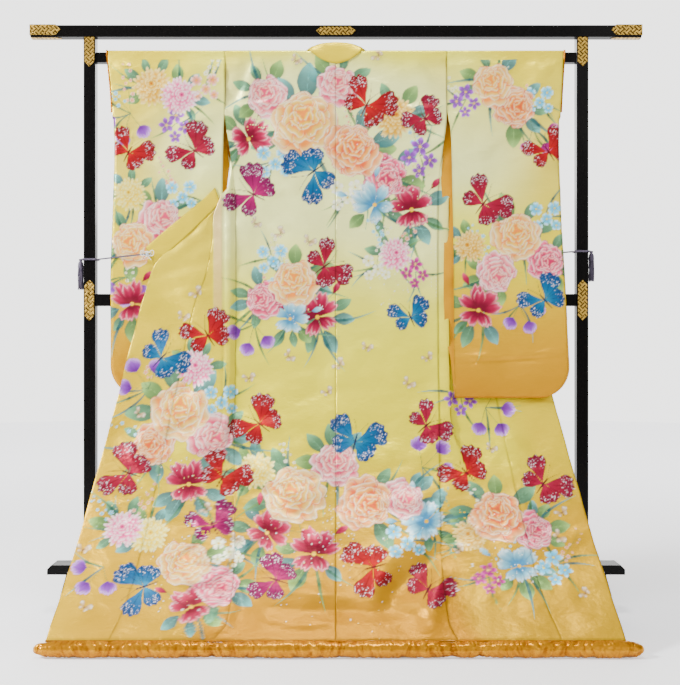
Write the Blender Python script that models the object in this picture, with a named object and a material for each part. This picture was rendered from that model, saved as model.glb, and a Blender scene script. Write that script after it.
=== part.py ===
"""Uchikake (wedding kimono) spread back outwards on a lacquered kimono stand.

The garment hangs over the shoulder rod with its back to the front (-Y).  Its two front
panels hang behind the rod, pass beside the back panel and are drawn out sideways by a cord
tied to each post: the left one in front of its sleeve, the right one behind its sleeve.
The hem sweeps forward onto the floor and ends in a padded roll.

Tables and sizes are in centimetres, measured from the rod's centre plane (y = 0), the middle
of the stand (x = 0) and the floor (z = 0).  Meshes are in metres.
"""
import math

import bmesh
import bpy
from mathutils import Vector

CM = 0.01
GAP = 0.03                      # seam and running clearance
ROD_PLANE_Y = 10.98             # puts the middle of the whole depth at y = 0

# ---------------------------------------------------------------- stand
BEAM_HALF = 91.0
BEAM_SIDE = 3.5
STAND_TOP = 175.0
POST_INNER = 71.6
POST_OUTER = 75.1
POST_HALF_DEPTH = 1.75
ROD_BOTTOM = 164.0
ROD_TOP = 167.0
ROD_HALF_DEPTH = 1.35
RAIL_BOTTOM = 91.4
RAIL_TOP = 95.0
RAIL_BACK = 0.9
BOARD_HALF = 85.4
BOARD_HALF_DEPTH = 4.0
BOARD_BOTTOM = 11.9
BOARD_TOP = 14.7
BOARD_CHAMFER = 1.2
FOOT_HALF = 30.5
FOOT_TOP = 16.3
FOOT_SHOULDER = 23.0            # where the foot's top starts to slope down
FOOT_END_HEIGHT = 11.5
ARCH_HALF = 17.0
ARCH_HEIGHT = 5.0
PLATE = 0.12                    # thickness of the brass fittings

# ---------------------------------------------------------------- garment
WALL = 0.13
COLLAR_WALL = 0.28
SHOULDER_Z = 167.45
ROD_SIDE_Y = 1.8                # where the cloth hangs beside the rod
CORNER = 0.5                    # radius of the cloth over the rod's edges
DRAPE_TOP = 165.0
HEM_Z = 4.42
HEM_SWEEP = 47.8                # how far the hem stands forward of the rod's side
SWEEP_POWER = 4.0
NECK_HALF = 9.2
NECK_DIP = 4.6                  # length cut from the panel at the middle of the back neck
SHOULDER_HALF = 33.0
ARMHOLE_Z = 150.7
CUFF_Z = 149.0
SLEEVE_Z = 64.4
SLEEVE_CORNER = 9.5
SLEEVE_FOLD_Z = 147.0           # the sleeve's outer edge is closed below this
ROLL_Y = -50.2
ROLL_Z = 2.17
CUFF_RADIUS = 0.3

# half width of the back panel from the centre seam to each side seam
BACK_WIDTH = (
    # z, left, right
    (167.5, 33.0, 33.0),
    (150.0, 33.0, 33.0),
    (136.0, 31.3, 31.6),
    (122.0, 29.9, 30.3),
    (84.0, 29.6, 30.1),
    (55.0, 29.4, 29.8),
    (17.0, 27.6, 28.7),
    (8.0, 28.4, 29.3),
    (4.42, 31.4, 31.2),
)

# free outer edge and open inner edges of the sleeves
SLEEVE_EDGES = (
    # z, left_outer, right_outer, left_inner, right_inner, right_lining_inner
    (167.5, 67.9, 67.7, 33.03, 33.03, 33.03),
    (150.7, 66.4, 66.7, 33.03, 33.03, 33.03),
    (140.0, 66.0, 66.4, 33.5, 34.2, 33.4),
    (128.0, 66.2, 66.7, 33.7, 34.5, 33.4),
    (117.0, 66.5, 67.0, 33.8, 34.7, 32.2),
    (96.0, 67.0, 68.0, 33.9, 34.8, 31.9),
    (84.0, 66.9, 68.3, 34.0, 34.7, 32.2),
    (75.0, 66.9, 68.4, 34.0, 34.6, 33.7),
    (64.4, 66.9, 68.4, 34.0, 34.5, 34.5),
)

# A front panel, one row for each stretch from the shoulder down to the hem.  The side is the
# armhole and side seam, the seam is the okumi's, and the edge is the collar seam and then the
# free front edge.  The off columns are measured back from the drape.  Where side_x is None the
# side is sewn behind the back panel's edge.  A pleat of 1 is the full fold beside that seam.
FRONT_ROWS = (
    # side_x, side_off, side_z, seam_x, seam_z, edge_x, left_off, right_off, edge_z, pleat
    (33.0, 1.82, 167.45, 9.2, 167.45, 9.2, 1.82, 1.82, 167.45, 0.0),
    (33.0, 3.10, 167.45, 9.2, 167.45, 9.2, 3.10, 3.10, 167.45, 0.0),
    (33.0, 3.45, 167.30, 9.2, 167.30, 9.2, 3.45, 3.45, 167.30, 0.0),
    (33.0, 3.60, 166.90, 9.2, 166.90, 9.2, 3.60, 3.60, 166.90, 0.0),
    (33.0, 3.65, 162.5, 9.4, 162.0, 9.4, 3.70, 3.70, 162.0, 0.0),
    (33.0, 3.75, 156.5, 10.4, 154.5, 10.4, 4.10, 4.10, 154.5, 0.0),
    (33.0, 3.80, 151.0, 14.0, 147.0, 14.0, 4.50, 4.50, 147.0, 0.0),
    (33.0, 3.40, 146.5, 20.0, 139.5, 20.0, 4.80, 4.80, 139.5, 0.0),
    (32.9, 2.60, 142.0, 26.0, 133.0, 26.0, 4.20, 4.60, 133.0, 0.0),
    (32.4, 1.20, 137.5, 30.0, 127.8, 30.0, 2.30, 3.70, 127.8, 0.0),
    (None, 0.20, 133.0, 32.7, 122.7, 33.3, -0.70, 1.90, 123.0, 0.0),
    (None, 0.20, 128.5, 34.3, 121.0, 37.6, -1.15, 1.62, 118.5, 0.5),
    (None, 0.20, 124.0, 36.2, 118.6, 42.0, -1.60, 1.35, 114.0, 1.0),
    (None, 0.20, 113.5, 36.6, 110.4, 53.5, -1.60, 1.30, 103.3, 1.0),
    (None, 0.20, 104.0, 38.2, 101.0, 56.2, -1.60, 1.30, 95.0, 1.0),
    (None, 0.20, 95.0, 41.6, 91.4, 58.5, -1.55, 1.30, 86.5, 1.0),
    (None, 0.20, 84.0, 43.8, 81.0, 60.6, -1.45, 1.30, 77.5, 1.0),
    (None, 0.20, 72.0, 45.8, 69.5, 62.8, -1.30, 1.30, 67.0, 1.0),
    (None, 0.20, 60.0, 47.8, 58.2, 65.0, -1.10, 1.20, 56.5, 1.0),
    (None, 0.20, 48.0, 49.5, 46.9, 67.2, -0.90, 0.90, 46.0, 0.4),
    (None, 0.20, 37.0, 51.1, 36.4, 69.0, -0.65, 0.50, 36.0, 0.0),
    (None, 0.20, 27.0, 52.5, 26.7, 70.6, -0.40, 0.25, 26.5, 0.0),
    (None, 0.20, 18.0, 53.9, 17.9, 72.1, -0.20, 0.10, 17.8, 0.0),
    (None, 0.20, 11.0, 55.5, 11.0, 73.1, -0.05, 0.02, 11.0, 0.0),
    (None, 0.20, 7.0, 57.0, 7.0, 73.8, 0.0, 0.0, 7.0, 0.0),
    (None, 0.20, HEM_Z, 57.9, HEM_Z, 74.1, 0.0, 0.0, HEM_Z, 0.0),
)
SEAM_FIRST_ROW = 10             # where the side seam starts
OKUMI_FIRST_ROW = 11            # the okumi's point
SEAM_LAP = 0.2                  # how far the fronts reach behind the back panel

# how far a front panel stands out beside the side seam before it goes on outwards
LEFT_PLEAT = (
    # beyond_side, off, drop
    (0.45, 0.20, 0.15),
    (1.4, -0.9, 0.5),
    (2.6, -1.35, 0.9),
    (3.5, -1.2, 1.2),
    (4.4, -1.5, 1.5),
)
RIGHT_PLEAT = (
    # beyond_side, off, drop
    (1.4, 0.20, 0.2),
    (2.7, 0.10, 0.4),
    (3.6, 0.25, 0.4),
    (0.9, 0.92, 0.4),
    (2.6, 1.50, 0.6),
)

# The upper collar.  Round the back neck its seam follows the neckline, behind the rod it falls
# beside the fronts' edges to where it passes beside the back panel.
COLLAR_NECK = (
    # seam_x, free_x, free_y, free_z
    (0.0, 0.0, -1.55, 169.9),
    (3.2, 2.9, -1.5, 169.75),
    (5.4, 4.9, -1.3, 169.45),
    (6.8, 6.1, -1.0, 169.15),
    (7.3, 6.5, -0.8, 169.0),
    (7.8, 6.9, -0.6, 168.9),
    (8.5, 7.4, 0.0, 168.75),
)
COLLAR_FALL = (
    # seam_x, seam_y, seam_z, free_x, free_y, free_z
    (8.95, 0.6, 167.9, 7.4, 1.4, 168.6),
    (8.95, 1.9, 167.5, 6.6, 2.7, 167.4),
    (8.9, 2.25, 162.5, 4.1, 3.1, 161.2),
    (9.9, 2.55, 154.5, 5.1, 3.6, 152.2),
    (13.6, 3.0, 146.5, 9.2, 4.2, 143.2),
    (19.6, 3.3, 139.0, 15.6, 4.7, 134.9),
    (25.5, 3.1, 132.3, 22.2, 4.9, 128.0),
    (28.8, 2.6, 128.3, 26.4, 4.8, 124.4),
)
COLLAR_SEAM_LIFT = 0.32        # from the middle of the panel's wall to the middle of the collar
COLLAR_SEAM_LAP = 0.9

# the stretch of collar drawn out to the side, from beside the back panel to its end
COLLAR_ENDS = (
    # seam_x, seam_z, free_x, free_z, left_off, right_off
    (34.36, 122.02, 35.9, 126.4, -0.82, 1.84),
    (37.66, 118.57, 39.4, 122.9, -1.15, 1.62),
    (42.06, 114.07, 44.4, 118.7, -1.6, 1.35),
    (47.86, 108.67, 50.3, 113.8, -1.6, 1.33),
    (53.56, 103.37, 56.2, 108.6, -1.6, 1.30),
)

ROLL_ROWS = (
    # x, radius
    (-77.1, 0.4),
    (-76.4, 1.0),
    (-74.8, 1.55),
    (-72.0, 1.95),
    (-66.0, 2.12),
    (-57.9, 2.0),
    (-52.0, 2.15),
    (-38.0, 2.1),
    (-31.5, 1.8),
    (-25.0, 2.1),
    (-10.0, 2.15),
    (0.8, 2.0),
    (12.0, 2.15),
    (24.0, 2.1),
    (29.5, 1.9),
    (33.0, 2.15),
    (36.5, 1.9),
    (46.0, 2.15),
    (58.5, 2.0),
    (68.0, 2.15),
    (74.0, 2.12),
    (76.6, 1.85),
    (77.9, 1.2),
    (78.4, 0.5),
)

BLACK = ("lacquer", (0.012, 0.011, 0.012), 0.18, 0.0)
BRASS = ("brass", (0.70, 0.50, 0.20), 0.35, 1.0)
SATIN = ("satin", (0.87, 0.76, 0.33), 0.45, 0.0)
LINING = ("lining", (0.85, 0.46, 0.06), 0.5, 0.0)
CORD = ("cord", (0.10, 0.06, 0.10), 0.8, 0.0)
CLIP = ("clip", (0.85, 0.85, 0.88), 0.3, 0.3)


# ---------------------------------------------------------------- helpers
def clear_scene():
    for old in list(bpy.data.objects):
        bpy.data.objects.remove(old, do_unlink=True)


def material(finish):
    name, colour, roughness, metallic = finish
    found = bpy.data.materials.get(name)
    if found:
        return found
    made = bpy.data.materials.new(name)
    made.use_nodes = True
    shader = made.node_tree.nodes["Principled BSDF"]
    shader.inputs["Base Color"].default_value = (*colour, 1.0)
    shader.inputs["Roughness"].default_value = roughness
    shader.inputs["Metallic"].default_value = metallic
    return made


def place(name, bm, finish, smooth=False):
    """Turn a bmesh in centimetres into a named object under the display's empty."""
    bmesh.ops.scale(bm, vec=(CM, CM, CM), verts=bm.verts)
    mesh = bpy.data.meshes.new(name)
    bm.to_mesh(mesh)
    bm.free()
    if smooth:
        mesh.shade_smooth()
    obj = bpy.data.objects.new(name, mesh)
    obj.data.materials.append(material(finish))
    bpy.context.scene.collection.objects.link(obj)
    obj.parent = bpy.data.objects["display"]
    return obj


def blend(a, b, t):
    return a + (b - a) * t


def smooth_step(low, high, value):
    t = min(1.0, max(0.0, (value - low) / (high - low)))
    return t * t * (3.0 - 2.0 * t)


def along(rows, column, value, key=0):
    """Read a column of a table at a key value, on a smooth curve without overshoot."""
    keys = [row[key] for row in rows]
    data = [row[column] for row in rows]
    if keys[0] > keys[-1]:
        keys.reverse()
        data.reverse()
    value = min(keys[-1], max(keys[0], value))
    spot = 0
    while spot < len(keys) - 2 and value > keys[spot + 1]:
        spot += 1
    slopes = [(data[i + 1] - data[i]) / (keys[i + 1] - keys[i]) for i in range(len(keys) - 1)]

    def tangent(i):
        if i == 0 or i == len(keys) - 1:
            return slopes[min(i, len(slopes) - 1)]
        if slopes[i - 1] * slopes[i] <= 0.0:
            return 0.0
        return 2.0 * slopes[i - 1] * slopes[i] / (slopes[i - 1] + slopes[i])

    span = keys[spot + 1] - keys[spot]
    t = (value - keys[spot]) / span
    rise = data[spot] * (1 + 2 * t) * (1 - t) ** 2 + data[spot + 1] * t * t * (3 - 2 * t)
    return rise + span * (tangent(spot) * t * (1 - t) ** 2 - tangent(spot + 1) * t * t * (1 - t))


def box(name, x, y, z, finish, bevel=0.15):
    """A bevelled box from three (low, high) pairs."""
    bm = bmesh.new()
    bmesh.ops.create_cube(bm, size=1.0)
    for vert in bm.verts:
        vert.co = Vector((
            blend(x[0], x[1], vert.co.x + 0.5),
            blend(y[0], y[1], vert.co.y + 0.5),
            blend(z[0], z[1], vert.co.z + 0.5),
        ))
    if bevel:
        bmesh.ops.bevel(bm, geom=bm.edges[:], offset=bevel, segments=1, affect="EDGES")
    return place(name, bm, finish)


def prism(name, outline, axis, low, high, finish):
    """Extrude a flat outline along an axis; the outline holds the other two coordinates."""
    def point(pair, depth):
        values = list(pair)
        values.insert(axis, depth)
        return Vector(values)

    bm = bmesh.new()
    verts = [bm.verts.new(point(pair, low)) for pair in outline]
    face = bm.faces.new(verts)
    made = bmesh.ops.extrude_face_region(bm, geom=[face])
    moved = [item for item in made["geom"] if isinstance(item, bmesh.types.BMVert)]
    shift = [0.0, 0.0, 0.0]
    shift[axis] = high - low
    bmesh.ops.translate(bm, vec=shift, verts=moved)
    bmesh.ops.recalc_face_normals(bm, faces=bm.faces[:])
    return place(name, bm, finish)


def boolean(obj, other, operation):
    """Cut or join with a helper that stays out of the build."""
    other.hide_render = True
    other.display_type = "WIRE"
    step = obj.modifiers.new(operation.lower(), "BOOLEAN")
    step.operation = operation
    step.solver = "EXACT"
    step.object = other


def tube(name, points, radius, sides, finish, closed=False):
    """A round cord or roll along a path; radius is one number or one for each point."""
    bm = bmesh.new()
    rings = []
    count = len(points)
    radii = radius if isinstance(radius, list) else [radius] * count
    reference = None
    for i, point in enumerate(points):
        ahead = points[(i + 1) % count] if closed or i + 1 < count else point
        behind = points[i - 1] if closed or i > 0 else point
        tangent = (Vector(ahead) - Vector(behind)).normalized()
        if reference is None:
            reference = Vector((0, 0, 1)) if abs(tangent.z) < 0.9 else Vector((1, 0, 0))
        across = tangent.cross(reference).normalized()
        reference = across.cross(tangent).normalized()
        ring = []
        for k in range(sides):
            angle = 2 * math.pi * k / sides
            offset = across * math.cos(angle) + reference * math.sin(angle)
            ring.append(bm.verts.new(Vector(point) + offset * radii[i]))
        rings.append(ring)
    for i in range(count if closed else count - 1):
        here = rings[i]
        there = rings[(i + 1) % count]
        for k in range(sides):
            bm.faces.new((here[k], here[(k + 1) % sides], there[(k + 1) % sides], there[k]))
    if not closed:
        bm.faces.new(rings[0])
        bm.faces.new(rings[-1])
    bmesh.ops.recalc_face_normals(bm, faces=bm.faces[:])
    return place(name, bm, finish, smooth=True)


def cloth(name, grid, finish, wall=WALL):
    """A cloth wall around a grid of points, rows of equal length; equal points are joined."""
    bm = bmesh.new()
    verts = [[bm.verts.new(Vector(point)) for point in row] for row in grid]
    for i in range(len(verts) - 1):
        for j in range(len(verts[0]) - 1):
            bm.faces.new((verts[i][j], verts[i][j + 1], verts[i + 1][j + 1], verts[i + 1][j]))
    bmesh.ops.remove_doubles(bm, verts=bm.verts[:], dist=0.001)
    bmesh.ops.recalc_face_normals(bm, faces=bm.faces[:])
    obj = place(name, bm, finish, smooth=True)
    solidify = obj.modifiers.new("wall", "SOLIDIFY")
    solidify.thickness = wall * CM
    solidify.offset = 0.0
    return obj


def mirrored(points, side):
    """The points with x turned to the left (-1) or right (+1) side."""
    return [(side * x, y, z) for x, y, z in points]


# ---------------------------------------------------------------- garment surfaces
def drape(z):
    """Where the cloth hangs at a height: straight by the rod, swept forward at the hem."""
    fall = min(1.0, max(0.0, (DRAPE_TOP - z) / (DRAPE_TOP - HEM_Z)))
    return -ROD_SIDE_Y - HEM_SWEEP * fall ** SWEEP_POWER


def over_rod(length):
    """(y, z) at a length of cloth from the crest over the rod, down the -Y side."""
    flat = ROD_SIDE_Y - CORNER
    arc = CORNER * math.pi / 2
    if length < flat:
        return -length, SHOULDER_Z
    if length < flat + arc:
        angle = (length - flat) / CORNER
        return -flat - CORNER * math.sin(angle), SHOULDER_Z - CORNER * (1 - math.cos(angle))
    z = SHOULDER_Z - CORNER - (length - flat - arc)
    return drape(z), z


def broad_folds(x, z):
    """Long shallow folds in the back panel, deepest above the hem."""
    low = smooth_step(75.0, 22.0, z) * smooth_step(4.3, 14.0, z)
    return low * (0.45 * math.sin(x * 0.22 + 0.9) + 0.25 * math.sin(x * 0.41 + z * 0.05))


def neck_cut(x):
    """Length cut away from the crest down to the back neckline."""
    return NECK_DIP * max(0.0, 1.0 - (x / NECK_HALF) ** 2.2)


def back_panel(side):
    """Grid of one back panel, from the neck and shoulder down to the hem."""
    shares = (0.0, 0.1, 0.165, 0.208, 0.238, 0.262, 0.2788, 0.45, 0.63, 0.82, 1.0)
    start_lengths = (0.02, 1.3, 1.7, 2.09, 4.2)
    joined_length = 8.0
    levels = [159.0, 155.0, 151.0, 146.0, 140.0]
    levels += [row[2] for row in FRONT_ROWS[SEAM_FIRST_ROW:]]
    column = 1 if side < 0 else 2
    grid = []
    for length in start_lengths:
        row = []
        for share in shares:
            x = blend(GAP / 2, SHOULDER_HALF, share)
            cut = neck_cut(x)
            y, z = over_rod(cut + length * (1 - cut / joined_length))
            row.append((x, y, z))
        grid.append(mirrored(row, side))
    for z in levels:
        width = along(BACK_WIDTH, column, z)
        row = []
        for share in shares:
            x = blend(GAP / 2, width, share)
            fade = smooth_step(0.0, 4.0, width - x)
            row.append((x, drape(z) + fade * broad_folds(side * x, z), z))
        grid.append(mirrored(row, side))
    return grid


def tilt(z):
    """Length along y that measures 1 across the drape's slope."""
    step = 0.5
    slope = (drape(z + step) - drape(z)) / step
    return math.hypot(1.0, slope)


def front_row(side, row):
    """Side, okumi seam and edge points of a front panel for one row of the table."""
    side_x, side_off, side_z, seam_x, seam_z, edge_x, left_off, right_off, edge_z, pleat = row
    if side_x is None:
        side_x = along(BACK_WIDTH, 1 if side < 0 else 2, side_z) - SEAM_LAP
        side_off *= tilt(side_z)
    edge_off = left_off if side < 0 else right_off
    start = Vector((side_x, drape(side_z) + side_off, side_z))
    end = Vector((edge_x, drape(edge_z) + edge_off, edge_z))
    out = smooth_step(0.0, 0.25, (seam_x - side_x) / (edge_x - side_x))
    seam = Vector((seam_x, drape(seam_z) + blend(side_off, edge_off, out), seam_z))
    return start, seam, end, pleat


def front_panel(side):
    """Grid of one front panel, from the side to the okumi seam."""
    inner = LEFT_PLEAT if side < 0 else RIGHT_PLEAT
    outward_columns = 4
    grid = []
    for row in FRONT_ROWS:
        start, seam, end, pleat = front_row(side, row)
        points = [start]
        for j, (beyond, off, drop) in enumerate(inner, start=1):
            straight = start.lerp(seam, j / (len(inner) + outward_columns))
            z = start.z - drop
            x = blend(straight.x, start.x + beyond, pleat ** 2)
            y = blend(straight.y, drape(z) + off, pleat)
            points.append(Vector((x, y, blend(straight.z, z, pleat))))
        last = points[-1]
        for j in range(1, outward_columns + 1):
            points.append(last.lerp(seam, j / outward_columns))
        grid.append(mirrored([tuple(point) for point in points], side))
    return grid


def okumi(side):
    """Grid of the narrow overlap panel, between its seam and the free front edge."""
    columns = 5
    tuck_end = 100.0
    grid = []
    for row in FRONT_ROWS[OKUMI_FIRST_ROW:]:
        start, seam, end, pleat = front_row(side, row)
        tucked = smooth_step(tuck_end, tuck_end + 8.0, seam.z)
        points = []
        for j in range(columns):
            share = j / (columns - 1)
            point = seam.lerp(end, share)
            if j == 0:
                point.x += (GAP + 0.02) * (1.0 - tucked)
                point.y += 0.34 * tucked
            between_z = blend(seam.z, end.z, share)
            bow = drape(between_z) - blend(drape(seam.z), drape(end.z), share)
            points.append((point.x, point.y + bow, point.z))
        grid.append(mirrored(points, side))
    return grid


def neck_seam(x):
    """A point of the collar's seam: on the back neckline, lifted off the panel."""
    step = 0.02
    length = neck_cut(x) + COLLAR_SEAM_LAP * (1 - x / NECK_HALF)
    y, z = over_rod(length)
    next_y, next_z = over_rod(length + step)
    run = math.hypot(next_y - y, next_z - z)
    out_y = (next_z - z) / run
    out_z = -(next_y - y) / run
    return x, y + out_y * COLLAR_SEAM_LIFT, z + out_z * COLLAR_SEAM_LIFT


def upper_collar():
    """Grid of the collar round the neck and down both sides behind the rod."""
    right = [(neck_seam(row[0]), row[1:]) for row in COLLAR_NECK]
    right += [(row[:3], row[3:]) for row in COLLAR_FALL]
    left = [((-a[0], a[1], a[2]), (-b[0], b[1], b[2])) for a, b in reversed(right[1:])]
    grid = []
    for seam, free in left + right:
        row = []
        for share in (0.0, 0.5, 1.0):
            x, y, z = Vector(seam).lerp(Vector(free), share)
            row.append((x, blend(seam[1], free[1], share ** 2), z))
        grid.append(row)
    return grid


def collar_end(side):
    """Grid of the stretch of collar that is drawn out to the side."""
    grid = []
    for seam_x, seam_z, free_x, free_z, left_off, right_off in COLLAR_ENDS:
        off = left_off if side < 0 else right_off
        row = []
        for share in (0.0, 0.5, 1.0):
            z = blend(seam_z, free_z, share)
            row.append((blend(seam_x, free_x, share), drape(z) + off, z))
        grid.append(mirrored(row, side))
    return grid


def sleeve_depth(side, z, rear):
    """y of a sleeve's front or rear layer at a height below the rod."""
    hang = 0.85 * (max(0.0, DRAPE_TOP - z) / 100.0) ** 1.5
    pushed = smooth_step(150.0, 112.0, z)
    if side < 0:
        front_y = -ROD_SIDE_Y - hang
        rear_y = blend(ROD_SIDE_Y, front_y + 0.42, smooth_step(158.0, 100.0, z))
    else:
        front_y = blend(-ROD_SIDE_Y - hang, drape(z) - 0.3, pushed)
        rear_y = blend(ROD_SIDE_Y, drape(z) + 0.8, smooth_step(158.0, 116.0, z))
        close = smooth_step(84.0, SLEEVE_Z, z)
        rear_y = blend(rear_y, front_y + 0.5, close)
    return rear_y if rear else front_y


def sleeve_outer(side, z):
    """The outer edge, with the round corner at the bottom."""
    edge = along(SLEEVE_EDGES, 1 if side < 0 else 2, z)
    above = z - SLEEVE_Z
    if above >= SLEEVE_CORNER:
        return edge
    drop = SLEEVE_CORNER - above
    return edge - SLEEVE_CORNER + math.sqrt(max(0.0, SLEEVE_CORNER ** 2 - drop ** 2))


def sleeve_row(side, y, z, rear, columns=8):
    inner_column = 3 if side < 0 else (5 if rear else 4)
    inner = along(SLEEVE_EDGES, inner_column, z)
    outer = sleeve_outer(side, z)
    fold = 0.0
    if z < SLEEVE_FOLD_Z:
        fold = 0.5 * (sleeve_depth(side, z, not rear) - sleeve_depth(side, z, rear))
    if z == SLEEVE_Z:
        y += fold
        fold = 0.0
    row = []
    for j in range(columns):
        x = blend(inner, outer, j / (columns - 1))
        last = 1.0 if j == columns - 1 else 0.0
        row.append((x, y + fold * last, z))
    return mirrored(row, side)


def sleeve(side):
    """Grid of a sleeve: up its front layer, over the rod and down its rear layer."""
    levels = (SLEEVE_Z, 65.0, 66.6, 69.2, 73.9, 82.0, 92.0, 103.0, 114.0, 124.0, 134.0, 143.0,
              CUFF_Z, ARMHOLE_Z, 157.0, 162.0)
    over = (2.1, 1.7, 1.3, 0.0)
    grid = [sleeve_row(side, sleeve_depth(side, z, False), z, False) for z in levels]
    for length in over:
        y, z = over_rod(length)
        grid.append(sleeve_row(side, y, z, False))
    for length in reversed(over[:-1]):
        y, z = over_rod(length)
        grid.append(sleeve_row(side, -y, z, True))
    for z in reversed(levels):
        grid.append(sleeve_row(side, sleeve_depth(side, z, True), z, True))
    return grid


def cuff_path(side):
    """Centre line of the rolled cuff edge, from its foot in front over the rod to the rear."""
    levels = (CUFF_Z, ARMHOLE_Z, 157.0, 162.0)
    reach = GAP + CUFF_RADIUS
    points = []
    for z in levels:
        points.append((sleeve_outer(side, z) + reach, sleeve_depth(side, z, False), z))
    lengths = (2.1, 1.7, 1.3, 0.4)
    for length in lengths:
        y, z = over_rod(length)
        points.append((sleeve_outer(side, z) + reach, y, z))
    for length in reversed(lengths):
        y, z = over_rod(length)
        points.append((sleeve_outer(side, z) + reach, -y, z))
    for z in reversed(levels):
        points.append((sleeve_outer(side, z) + reach, sleeve_depth(side, z, True), z))
    return mirrored(points, side)


# ---------------------------------------------------------------- garment
def build_garment():
    for side, word in ((-1, "left"), (1, "right")):
        cloth("back_" + word, back_panel(side), SATIN)
        cloth("front_" + word, front_panel(side), SATIN)
        cloth("okumi_" + word, okumi(side), SATIN)
        cloth("sleeve_" + word, sleeve(side), SATIN)
        cloth("collar_" + word, collar_end(side), SATIN, COLLAR_WALL)
        tube("cuff_" + word, cuff_path(side), CUFF_RADIUS, 6, LINING)
    cloth("collar_neck", upper_collar(), SATIN, COLLAR_WALL)
    build_hem_roll()


def build_hem_roll():
    """The padded roll of the hem, slimmer where the seams draw it in."""
    sides = 10
    points = []
    radii = []
    rows = [row[0] for row in ROLL_ROWS]
    for here, there in zip(rows, rows[1:]):
        steps = 2 if there - here > 7.0 else 1
        for k in range(steps):
            points.append(blend(here, there, k / steps))
    points.append(rows[-1])
    path = []
    for x in points:
        radius = along(ROLL_ROWS, 1, x)
        radii.append(radius / math.cos(math.pi / sides))
        path.append((x, ROLL_Y, ROLL_Z))
    tube("hem_roll", path, radii, sides, LINING)


# ---------------------------------------------------------------- stand
def build_frame():
    beam = (STAND_TOP - BEAM_SIDE, STAND_TOP)
    half = BEAM_SIDE / 2
    box("top_beam", (-BEAM_HALF, BEAM_HALF), (-half, half), beam, BLACK)
    inside = POST_INNER - GAP
    rod_depth = (-ROD_HALF_DEPTH, ROD_HALF_DEPTH)
    box("shoulder_rod", (-inside, inside), rod_depth, (ROD_BOTTOM, ROD_TOP), BLACK, 0.12)
    rail_depth = (-POST_HALF_DEPTH, RAIL_BACK)
    box("middle_rail", (-inside, inside), rail_depth, (RAIL_BOTTOM, RAIL_TOP), BLACK, 0.12)
    for side, word in ((-1, "left"), (1, "right")):
        across = sorted((side * POST_INNER, side * POST_OUTER))
        depth = (-POST_HALF_DEPTH, POST_HALF_DEPTH)
        height = (FOOT_TOP + GAP, STAND_TOP - BEAM_SIDE - GAP)
        box("post_" + word, across, depth, height, BLACK, 0.12)
        build_foot("foot_" + word, across)
    build_board()


def build_foot(name, across):
    """A foot that runs front to back: sloping shoulders, an arch below, a slot for the board."""
    outline = [(-FOOT_HALF, 0.0), (-ARCH_HALF, 0.0)]
    steps = 8
    for i in range(1, steps):
        angle = math.pi * i / steps
        outline.append((-ARCH_HALF * math.cos(angle), ARCH_HEIGHT * math.sin(angle)))
    outline += [(ARCH_HALF, 0.0), (FOOT_HALF, 0.0)]
    outline += [(FOOT_HALF, FOOT_END_HEIGHT), (FOOT_SHOULDER, FOOT_TOP)]
    outline += [(-FOOT_SHOULDER, FOOT_TOP), (-FOOT_HALF, FOOT_END_HEIGHT)]
    foot = prism(name, outline, 0, across[0], across[1], BLACK)
    slot_depth = (-BOARD_HALF_DEPTH - GAP, BOARD_HALF_DEPTH + GAP)
    slot_height = (BOARD_BOTTOM - GAP, BOARD_TOP + GAP)
    through = (across[0] - 1.0, across[1] + 1.0)
    boolean(foot, box(name + "_slot", through, slot_depth, slot_height, BLACK, 0.0), "DIFFERENCE")


def build_board():
    """The long board that joins the feet, chamfered along the top of its ends."""
    outline = [(-BOARD_HALF, BOARD_BOTTOM), (BOARD_HALF, BOARD_BOTTOM)]
    outline += [(BOARD_HALF, BOARD_TOP - BOARD_CHAMFER), (BOARD_HALF - BOARD_CHAMFER, BOARD_TOP)]
    outline += [(BOARD_CHAMFER - BOARD_HALF, BOARD_TOP), (-BOARD_HALF, BOARD_TOP - BOARD_CHAMFER)]
    prism("base_board", outline, 1, -BOARD_HALF_DEPTH, BOARD_HALF_DEPTH, BLACK)


def pointed(low, high, middle, half_width, low_tip, high_tip):
    """Outline of a plate along its first axis, with a point at either end or none."""
    outline = [(low + low_tip, middle - half_width), (high - high_tip, middle - half_width)]
    if high_tip:
        outline.append((high, middle))
    outline += [(high - high_tip, middle + half_width), (low + low_tip, middle + half_width)]
    if low_tip:
        outline.append((low, middle))
    return outline


def build_fittings():
    build_beam_ends()
    face = BEAM_SIDE / 2
    middle = STAND_TOP - BEAM_SIDE / 2
    for word, direction in (("front", -1), ("back", 1)):
        layer = sorted((direction * (face + GAP), direction * (face + GAP + PLATE)))
        outline = pointed(-5.95, 5.95, middle, 1.2, 1.4, 1.4)
        prism("plate_centre_" + word, outline, 1, layer[0], layer[1], BRASS)
        for side, hand in ((-1, "left"), (1, "right")):
            centre = side * (POST_INNER + POST_OUTER) / 2
            top = pointed(162.6, STAND_TOP - BEAM_SIDE - 0.1, centre, 1.45, 1.5, 0.0)
            mid = pointed(87.0, 99.2, centre, 1.4, 1.5, 1.5)
            for name, shape in (("plate_top_", top), ("plate_mid_", mid)):
                flipped = [(b, a) for a, b in shape]
                node = name + hand + "_" + word
                prism(node, flipped, 1, layer[0], layer[1], BRASS)


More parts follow.
